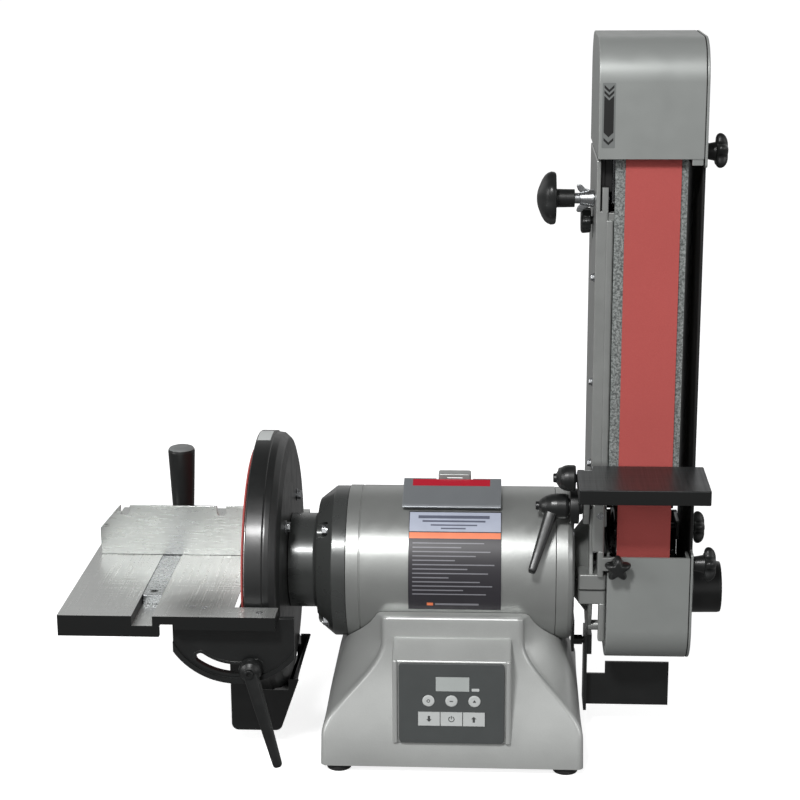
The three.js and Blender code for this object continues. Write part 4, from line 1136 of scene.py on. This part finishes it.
def lever(node, hub_from, hub_to, stud_to, tip, hub_r):
    """A clamp lever: a domed hub with a screw in its outer end, a stud and a tapering handle."""
    axis = "y" if hub_from[1] != hub_to[1] else "x"
    i = ALONG[axis]
    at = tuple(value for k, value in enumerate(hub_from) if k != i)
    low, high = hub_from[i], hub_to[i]
    rise = high - low
    swell = [(0, 0.36), (0.1, 0.6), (0.25, 0.82), (0.42, 0.95), (0.6, 1), (0.9, 1), (1, 0.92)]
    profile = [(low + rise * t, hub_r * share) for t, share in swell]
    hub = lathe(axis, [(low, 0), *profile, (high, 0)], at, 0.8, 64)
    cap = [low - math.copysign(2.9, rise), low + rise * 0.2]
    screw = cut(
        lathe(axis, [(cap[0], 0), (cap[0], 4.2), (cap[1], 4.8), (cap[1], 0)], at, 0.6, 48),
        plate(axis, [hexagon(2.4, at)], *sorted((cap[0] - 1, cap[0] + 2.2)), 0),
    )
    middle_of = Vector([(a + b) / 2 for a, b in zip(hub_from, hub_to)])
    out = Vector(tip) - middle_of
    away = Vector([1.0 if k == i else 0.0 for k in range(3)])
    start = middle_of + out.normalized() * hub_r * 0.25
    side = out.normalized().cross(away)
    bar = grip_bar(start, tip, (hub_r * 1.25, 8.5), (13, 7.5), side)
    stud = rod(axis, STUD_R, *sorted((middle_of[i], stud_to[i])), at, 0.5)
    stand_in(node, joined(hub, bar, stud, screw))


# ---------------------------------------------------------------- mitre gauge
PIVOT = (SLOT_X, 25)


def build_mitre():
    top = TABLE_TOP
    x = SLOT_X
    low, high = span("mitre_bar", "y")
    bar = joined(
        block((x - 9.5, x + 9.5), (low, high), (top - 9.2, top - GAP), 0.5),
        rod("z", 5, top - 1, top + 11, PIVOT, 0.5),
    )
    bar = cut(bar, rod("z", 3.6, top - 2, top + 2, (x, low + 11), 0))
    stand_in("mitre_bar", bar)
    screw = screw_head("z", (x, low + 11), top - 1.2, 3.2, 1, 0.4)
    piece("mitre_bar_screw", screw, "black_plastic", "mitre_bar")

    outline = [(x - 68, 12, 1), (x + 68, 12, 1), *arc(68, 0, 180, PIVOT, 60)]
    slot = arc_slot(58, STUD_R + 0.7, 38, 142, PIVOT)
    head = plate("z", [rounded(outline, 0), slot, circle(5.3, PIVOT)], top + GAP, top + 8, 0.7)
    upright = block((x - 46, x + 46), (12, 18), (top + 2, top + 30), 1)
    stand_in("mitre_head", joined(head, upright))
    profile = [(top + 8.2, 0), (top + 8.2, 9), (top + 10.4, 9), (top + 11, 8), (top + 11, 0)]
    piece("mitre_pivot_washer", lathe("z", profile, PIVOT, 0.4, 48), "steel", "mitre_bar")

    left, right = span("mitre_fence", "x")
    low, high = span("mitre_fence", "z")

    def notch(at):
        floor = high - 10
        return [(at + 4.5, high, 0.5), (at + 4.5, floor, 4), (at - 4.5, floor, 4), (at - 4.5, high, 0.5)]

    fence = [(left, low, 0.5), (right, low, 0.5), (right, high, 0.8), *notch(-235), *notch(-333),
             (-338.5, high, 0.8), (left, high - 24, 0.8)]
    stand_in("mitre_fence", plate("y", [rounded(fence, 0.5)], *span("mitre_fence", "y"), 0.35))
    for i, at in enumerate((x - 34, x + 34)):
        screw = screw_head("y", (at, top + 20), 18, 4, 1, 1.6)
        piece(f"fence_screw_{i + 1}", screw, "steel", "mitre_head")

    lock = (x, 25 + 58)
    grip = lathe("z", [
        (top + 11.5, 0), (top + 11.5, 9.8), (top + 13, 10.6), (top + 40, 11.8), (top + 88, 13.9),
        (top + 90.4, 13.4), (top + 92, 12), (top + 93.6, 7), (top + 94, 0),
    ], lock, 0.7, 64)
    nut = hex_plate("z", 9, top + 8.4, top + 12, lock, 0.8, 0.5)
    stud = rod("z", STUD_R, top, top + 14, lock, 0.4)
    thing = stand_in("mitre_handle", joined(grip, nut, stud), inks=("steel", "handle_cap"))
    ink_faces(thing, 1, lambda c, n: c.z < top + 11.4)
    ink_faces(thing, 2, lambda c, n: c.z > top + 90.6)


# ---------------------------------------------------------------- belt unit
ARM_LEFT, ARM_RIGHT = 131, 135
COVER = {"front": -74, "back": 76, "corner": 38, "left": 131, "right": 226.7}
IDLER = (-22, SHAFT_Z + 453)
PLATEN_BACK = span("platen", "y")[1]
KNOBS = {"top": (-30, SHAFT_Z + 414.5), "front": (-60, SHAFT_Z + 22), "rear": (50, SHAFT_Z + 22)}
TRACK = (-22, SHAFT_Z + 369.5)
TENSION = (1, SHAFT_Z + 345)
GUARD_KNOB = (157, SHAFT_Z + 26)
LOCK_LEVER = (-54, SHAFT_Z + 77)


def up(z):
    """A height over the shaft, as a height over the bench."""
    return SHAFT_Z + z


def zs(low, high):
    return up(low), up(high)


def build_arm():
    left, right = ARM_LEFT, ARM_RIGHT
    side = [*arc(66, 180, 360, SHAFT, 60), (70, up(30), 8), (70, up(410), 2), (-58, up(410), 2),
            (-58, up(30), 8)]
    hub = lathe("x", [(118, 0), (118, 32), (119.4, 34), (131, 49), (132, 49), (132, 0)], SHAFT, 0.8, 96)
    parts = [
        hub,
        block((left, 142.5), (-58, -46), zs(57, 363), 1.4),
        block((140, 147.5), (-58, -46), zs(57, 354.5), 1.2),
        block((136.5, 142.4), (-58, -53), zs(361, 385.5), 0.6),
        block((left, 222), (66, 70), zs(36, 410), 0.8),
        block((121, 147.2), (-66, -40), zs(-19, 11.5), 1.6),
        block((140.6, 147.2), (-66, -56), zs(-57.4, -18), 1.4),
        block((133, 144.5), (-71, -44), zs(36, 84), 1.6),
        block((138.5, 144.5), (-71, -44), zs(10.5, 37), 1.2),
        block((138.5, 168), (-71, -66), zs(17, 30.5), 1.2),
        block((134, 139.5), (-52, 12), zs(330, 505), 0.8),
        block((139, 146), (-52, -47), zs(380, 500), 0.6),
        block((139, 146), (7, 12), zs(380, 500), 0.6),
        block((left + 1, 210), (PLATEN_BACK + 0.5, -45), zs(99, 111), 0.8),
        block((left + 1, 210), (PLATEN_BACK + 0.5, -45), zs(349, 361), 0.8),
        block((left + 1, 150), (-7, 9), zs(292, 300 - GAP), 0.6),
    ]
    for y, z in ((-40, -50), (50, -20), (40, 28)):
        parts.append(rod("x", 5, left + 1, 147.7, (y, up(z)), 0.3, 32))
    holes = [
        rod("x", 30.6, 110, left + 0.5, SHAFT, 0, 96),
        rod("x", 18, 120, 150, SHAFT, 0, 64),
        block((117, 149.2), (-80, -28), zs(-5.4, -3.4), 0.1),
        rod("x", 5.4, 125, 150, TRACK, 0),
        block((125, 150), (TENSION[0] - 4.6, TENSION[0] + 4.6), (TENSION[1] - 18, TENSION[1] + 5), 0.4),
        rod("x", STUD_R + GAP, 125, 160, LOCK_LEVER, 0),
        rod("y", STUD_R + GAP, -75, -60, GUARD_KNOB, 0),
    ]
    shape = cut(joined(plate("x", [rounded(side, 0)], left, right, 1), *parts), *holes)
    thing = stand_in("arm_frame", shape, inks=("black_print_and_painted_shade",), smooth=34)

    # painted shade: the arm's inner faces high up, and further back those facing the belt or the front, get
    # near-black
    def dark(c, n):
        return c.x > right - 0.3 and (c.z > up(376) or c.y > -42 and (n.x > 0.7 or n.y < -0.7))

    ink_faces(thing, 1, dark)
    piece("lug_screw", screw_head("y", (140.4, up(73)), -71, 3.4, -1, 1.6), "steel", "arm_frame")

    keep("platen", 0.8)
    build_belt()
    for i, (y, z) in enumerate(((-52, 120), (-52, 200), (-52, 300))):
        spot = (y, up(z))
        piece(f"rib_screw_{i + 1}", hex_bolt("x", spot, left - 3.4, left + 0.1, 3.4), "steel", "arm_frame")


def build_belt():
    wheel_r, idler_r, away = 60, 38, 453
    lean = math.atan2(22, away)
    rear = math.degrees(math.asin((wheel_r - idler_r) / math.hypot(22, away)) + lean)

    def loop(extra):
        return arc(wheel_r + extra, 180, 360 + rear, SHAFT, 90) + arc(idler_r + extra, rear, 180, IDLER, 60)

    belt = plate("x", [loop(2.1), loop(0.6)], BELT_LEFT, BELT_RIGHT, 0)
    thing = stand_in("sanding_belt", belt, inks=("cloth_back",))
    ink_faces(thing, 1, lambda c, n: (c.y + 11) * n.y + (c.z - up(226)) * n.z < 0)


def cover_shell(left, z, open_top):
    """A sheet cover with round corners, open to the right and at its top or at its bottom."""
    front, back, right, r = (COVER[key] for key in ("front", "back", "right", "corner"))
    low, high = z
    wall = 2.5
    floor, lid = (low + wall, high + 5) if open_top else (low - 5, high - wall)

    def outline(y0, y1, z0, z1, r):
        down, top = (r, 0.0) if open_top else (0.0, r)
        return [rounded([(y0, z0, down), (y1, z0, down), (y1, z1, top), (y0, z1, top)], 0)]

    outside = outline(front, back, low, high, r)
    inside = outline(front + wall, back - wall, floor, lid, r - wall)
    return cut(plate("x", outside, left, right, 1), plate("x", inside, left + wall, right + 6, 0))


def paint_shade_inside(thing, centre, reach):
    """The faces inside a cover that look at its middle get near-black, as painted shade."""
    def inside(c, n):
        away = Vector(centre) - c
        return all(abs(away[i]) <= reach[i] for i in range(3)) and away.dot(n) > 0

    ink_faces(thing, 1, inside)


def build_covers():
    right = COVER["right"]
    high = span("upper_cover", "z")[1]
    cap = joined(
        cover_shell(COVER["left"], (up(413), high), False),
        block((216, right - GAP), (COVER["front"] + 1, -20), zs(407, 422), 0.6),
    )
    cap = cut(cap, rod("x", STUD_R + GAP, 208, 232, KNOBS["top"], 0))
    thing = stand_in("upper_cover", cap, inks=("black_print_and_painted_shade",))
    # painted shade on the upper cover's inside faces
    paint_shade_inside(thing, (178, 1, up(440)), (45, 73, 83))

    low, high = span("lower_guard", "z")
    pan = joined(
        cover_shell(148, (low, high), True),
        block((right - 4, right - GAP), (COVER["front"] + 1, -50), zs(12, 31), 0.6),
        block((right - 4, right - GAP), (40, COVER["back"] - 1), zs(12, 31), 0.6),
    )
    holes = [rod("x", STUD_R + GAP, 208, 232, KNOBS[name], 0) for name in ("front", "rear")]
    pan = cut(
        pan, *holes,
        rod("x", 24, 143, 153, SHAFT, 0, 64),
        block((146, 151.5), (COVER["front"] - 2, -60), zs(14, 34), 0.1),
        rod("y", STUD_R + GAP, COVER["front"] - 2, COVER["front"] + 6, GUARD_KNOB, 0),
    )
    thing = stand_in("lower_guard", pan, inks=("black_print_and_painted_shade",))
    # painted shade on the lower guard's inside faces
    paint_shade_inside(thing, (185, 1, up(0)), (38, 73, 79))

    y = COVER["front"]
    knob = joined(
        lobed("y", GUARD_KNOB, -95, -83, DOME, 13, 2.4, 5),
        lathe("y", [(-84, 0), (-84, 8), (y - GAP, 6.6), (y - GAP, 0)], GUARD_KNOB, 0.5, 48),
        rod("y", STUD_R, y - 1, -67, GUARD_KNOB, 0.4),
    )
    stand_in("guard_knob", knob)
    # running-direction sign: a black bar between chevrons, all pointing down
    x = (135.6, 144.4)
    point = 4.2
    bars = [pointed(x, 437, 470, point)]
    for top in (479.6, 474.8, 432.4):
        bars.append(pointed(x, top - 2.6, top, point))
    printed = heap(*[plate("y", [bar], y - 0.12, y + 0.3, 0) for bar in bars])
    piece("direction_sign", printed, "black_print_and_painted_shade", "upper_cover")
    field = rectangle((134, 146), zs(422.9, 481.4), 1)
    piece("direction_sign_field", plate("y", [field], y - 0.05, y + 0.3, 0), "cover_dark", "upper_cover")


def pointed(x, low, high, point):
    """A bar whose two ends both point down."""
    mid = (x[0] + x[1]) / 2
    return [(x[0], up(high)), (x[0], up(low)), (mid, up(low - point)), (x[1], up(low)), (x[1], up(high)),
            (mid, up(high - point))]


def build_side_cover():
    inner, outer = span("side_cover", "x")
    front, back, r = COVER["front"], COVER["back"], COVER["corner"]
    low, high = up(-81), up(520)
    cut_low, cut_high = up(36), up(405)
    outline = [
        (front, low, r), (back, low, r), (back, high, r), (front, high, r), (front, cut_high, 3),
        (-61, cut_high, 4), (-61, cut_low, 4), (front, cut_low, 3),
    ]
    port = (10, up(-27))
    holes = [circle(STUD_R + GAP, at) for at in KNOBS.values()] + [circle(23, port)]
    panel = plate("x", [rounded(outline, 0), *holes], inner, outer, 0.8)
    thing = stand_in("side_cover", panel, inks=("black_print_and_painted_shade",))

    # painted shade: the cover's inner face and the recess faces behind its cut-out get near-black
    def dark(c, n):
        recess = n.y < -0.6 and c.y > -63 and up(37) < c.z < up(404)
        return n.x < -0.6 or recess

    ink_faces(thing, 1, dark)

    end = span("dust_port", "x")[1]
    start = outer + GAP
    rim = half("dust_port", "y")
    sleeve = [(start, 22.5), (start, rim), (start + 3.4, rim), (start + 4.2, 27.5), (start + 7, 26),
              (end - 3, 25.6), (end, 25), (end, 22.5)]
    stand_in("dust_port", lathe("x", sleeve, port, 0.6, 96))
    for i in range(3):
        at = on_circle(28.8, 30 + 120 * i, port)
        piece(f"port_screw_{i + 1}", screw_head("x", at, start + 3.4, 2.2, 1, 0.7), "steel", "dust_port")

    for name, at in KNOBS.items():
        knob = joined(
            lobed("x", at, 252, 241, DOME, 17, 2.8, 5),
            lathe("x", [(outer + GAP, 0), (outer + GAP, 7), (234, 7.4), (242, 9), (242, 0)], at, 0.6, 48),
            rod("x", STUD_R, 209.5, outer + 1, at, 0.5),
        )
        stand_in("cover_knob_" + name, knob)


def build_idler():
    stand_in("idler_wheel", wheel(IDLER, 38, 0.8, 7, 6, 15, 8.3))
    y, z = IDLER
    yoke = joined(
        plate("x", [rectangle((y - 12, y + 12), (up(362), z + 14), 6)], 146.3, 151, 0.7),
        rod("x", 8, 150, 213, IDLER, 0.5),
        rod("x", 12, 150, BELT_LEFT - 0.8, IDLER, 0.5),
        hex_plate("x", 13, BELT_RIGHT + 0.8, 213, IDLER),
    )
    stand_in("idler_yoke", yoke)

    y, z = TENSION
    slide = joined(
        block((139.8, 145.5), (-46.5, 6.5), zs(392, 478), 0.6),
        block((139.8, 145.5), (-4, 6), zs(335, 393), 0.6),
        rod("x", STUD_R, 125, 141, TENSION, 0.4),
        lobed("x", TENSION, 119.5, 129, BUTTON, 12.5, 0.3, 12),
    )
    stand_in("tension_slide", slide)
    build_spring()

    track = joined(
        lobed("x", TRACK, 77.3, 95.3, MUSHROOM, 25, 0.9, 6),
        lathe("x", [(94, 0), (94, 9.6), (96.5, 8.7), (112.6, 8.4), (112.6, 0)], TRACK, 0.5, 64),
    )
    screw = joined(
        rod("x", 5, 112, 145.2, TRACK, 0.5),
        lathe("x", [(117.5, 0), (117.5, 6), (130.5, 8.5), (130.5, 0)], TRACK, 0.6, 48),
        wing(TRACK, 1),
        wing(TRACK, -1),
    )
    stand_in("tracking_knob", track)
    piece("tracking_screw", screw, "steel", "tracking_knob")


def wing(at, side):
    """One ear of a wing nut, a flat lobe that leans outward."""
    y, z = at
    outline = rounded([
        (120, z + side * 3), (129.5, z + side * 3), (129.5, z + side * 7), (122, z + side * 9.5),
        (118.6, z + side * 13, 2.2), (113.6, z + side * 13, 2.2), (115.5, z + side * 8),
    ], 1)
    return plate("y", [outline], y - 1.7, y + 1.7, 0.7)


def build_spring():
    low, high = up(300), up(335 - GAP)
    x, y = 142.6, TENSION[0]
    turns, wire_r, coil_r = 5, 0.9, 4
    path = []
    steps = turns * 28
    for i in range(steps + 1):
        u, v = on_circle(coil_r, 360 * turns * i / steps, (x, y))
        path.append((u, v, low + wire_r + (high - low - 2 * wire_r) * i / steps))
    coil = stand_in("tension_spring", wire(path, wire_r))
    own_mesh(coil)


# ---------------------------------------------------------------- belt table
def build_belt_table():
    left, right = span("belt_table", "x")
    front, back = span("belt_table", "y")[0], -63.4
    low, high = 284.4, span("belt_table", "z")[1]
    pivot = (-70, 288)
    notch = (131.3, -79)
    outline = [(left, front), (right, front), (right, back), (notch[0], back), notch, (left, notch[1])]
    slab = plate("z", [rounded(outline, 1.6)], low, high, 0.9)
    ear = joined(
        block((118, 124.2), (notch[1] - 1, pivot[0]), (low, 296), 0.5),
        rod("x", 8, 118, 124.2, pivot, 0.4),
    )
    table = cut(joined(slab, ear), rod("x", STUD_R + GAP, 110, 140, pivot, 0))
    stand_in("belt_table", table)

    corners = [(-72.5, 103), (-62, 107), (-50, 88), (-43.5, 77), (-46, 58), (-58, 60), (-65, 72), (-69, 90)]
    y, z = LOCK_LEVER
    bracket = cut(
        joined(
            plate("x", [rounded([(a, up(b)) for a, b in corners], 2)], 124.5, 130.5, 0.9),
            rod("x", 8, 124.5, 130.5, pivot, 0.8),
            rod("x", 11, 124.5, 130.5, LOCK_LEVER, 0.8),
        ),
        rod("x", STUD_R + GAP, 120, 135, pivot, 0),
        rod("x", STUD_R + GAP, 120, 135, LOCK_LEVER, 0),
    )
    stand_in("belt_table_bracket", bracket)
    lever("belt_table_tilt_lever", (98, *pivot), (116.4, *pivot), (130, *pivot), (105, -10, 276), 12.5)
    lever("belt_table_lock_lever", (82, y, z), (110.6, y, z), (146, y, z), (75, y - 38, z - 55), 12)
    collar = joined(rod("x", 17, 111.6, 120.5, LOCK_LEVER, 1.2, 64), rod("x", 8, 110, 123.9, LOCK_LEVER, 0.6))
    piece("lock_lever_collar", collar, "black_plastic", "belt_table_lock_lever")


# ---------------------------------------------------------------- floor, light and camera
def build_floor():
    mesh = mesh_from([(-20, -20, 0), (20, -20, 0), (20, 20, 0), (-20, 20, 0)], [(0, 1, 2, 3)])
    floor = bpy.data.objects.new("floor", mesh)
    look = Look("floor")
    tint = look.mix(look.noise(2, 2), srgb(228, 228, 228), srgb(231, 231, 231))
    look.set(colour=tint, rough=0.9, specular=0.1)
    look.shader.inputs["Emission Color"].default_value = (1, 1, 1, 1)
    look.shader.inputs["Emission Strength"].default_value = 0.8
    mesh.materials.append(LOOKS["floor"])
    floor.visible_glossy = False
    floor.visible_diffuse = False
    scene.collection.objects.link(floor)


def softbox(name, at, aim, size, power):
    """A soft area light that faces a point."""
    light = bpy.data.lights.new(name, "AREA")
    light.shape = "RECTANGLE"
    light.size, light.size_y = size
    light.energy = power
    lamp = bpy.data.objects.new(name, light)
    lamp.location = at
    lamp.rotation_mode = "QUATERNION"
    lamp.rotation_quaternion = (Vector(aim) - Vector(at)).to_track_quat("-Z", "Y")
    lamp.visible_camera = False
    scene.collection.objects.link(lamp)


# how bright the studio is by height, from straight down at -1 to straight up at 1
STUDIO = [(-1, 0.3), (-0.1, 0.34), (0.04, 1), (0.5, 1), (0.7, 0.26), (1, 0.16)]
STUDIO_LEVEL = 0.56


def build_light():
    world = bpy.data.worlds.new("studio")
    world.use_nodes = True
    tree = world.node_tree
    sky = tree.nodes["Background"]
    place = tree.nodes.new("ShaderNodeTexCoord")
    split = tree.nodes.new("ShaderNodeSeparateXYZ")
    height = tree.nodes.new("ShaderNodeMapRange")
    height.inputs["From Min"].default_value = -1
    ramp = tree.nodes.new("ShaderNodeValToRGB")
    tree.links.new(place.outputs["Generated"], split.inputs[0])
    tree.links.new(split.outputs["Z"], height.inputs["Value"])
    tree.links.new(height.outputs["Result"], ramp.inputs["Fac"])
    tree.links.new(ramp.outputs["Color"], sky.inputs["Color"])
    sky.inputs["Strength"].default_value = STUDIO_LEVEL
    stops = ramp.color_ramp.elements
    while len(stops) < len(STUDIO):
        stops.new(0.5)
    for stop, (z, level) in zip(stops, STUDIO):
        stop.position = (z + 1) / 2
        stop.color = (level, level, level, 1)
    scene.world = world
    softbox("key_light", (-0.44, -2.2, 2.25), (0.16, -0.08, 0.25), (0.4, 0.4), 60)
    softbox("front_box", (-1.2, -3.2, 1.3), (0, 0, 0.3), (2.4, 1.0), 4)
    softbox("left_box", (-2.7, -1.5, 1.3), (0, 0, 0.3), (0.9, 1.6), 26)
    softbox("right_box", (2.8, -1.2, 1.2), (0, 0, 0.3), (0.8, 1.6), 10)


def build_camera():
    """The camera stands in front of the machine and looks a little down and to the right."""
    yaw, pitch, roll = (math.radians(a) for a in (-3.23, -14.91, 0.39))
    ahead = Vector((math.sin(yaw) * math.cos(pitch), math.cos(yaw) * math.cos(pitch), math.sin(pitch)))
    right = ahead.cross(Vector((0, 0, 1))).normalized()
    down = ahead.cross(right)
    across = right * math.cos(roll) + down * math.sin(roll)
    below = down * math.cos(roll) - right * math.sin(roll)
    lens = bpy.data.cameras.new("camera")
    lens.lens = 85
    lens.sensor_width = 36
    lens.clip_end = 100
    camera = bpy.data.objects.new("camera", lens)
    axes = Matrix((across, -below, -ahead)).transposed()
    camera.matrix_world = Matrix.Translation((0.0975, -1.78411, 0.8212)) @ axes.to_4x4()
    scene.collection.objects.link(camera)
    scene.camera = camera


build_camera()
make_looks()
build_base()
build_panel()
build_motor()
build_rotor()
build_guard()
build_hood()
build_disc_table()
build_mitre()
build_arm()
build_covers()
build_side_cover()
build_idler()
build_belt_table()
keep("spark_deflector", 0.5)
build_floor()
build_light()
scene.view_settings.view_transform = "Standard"

bpy.context.view_layer.update()
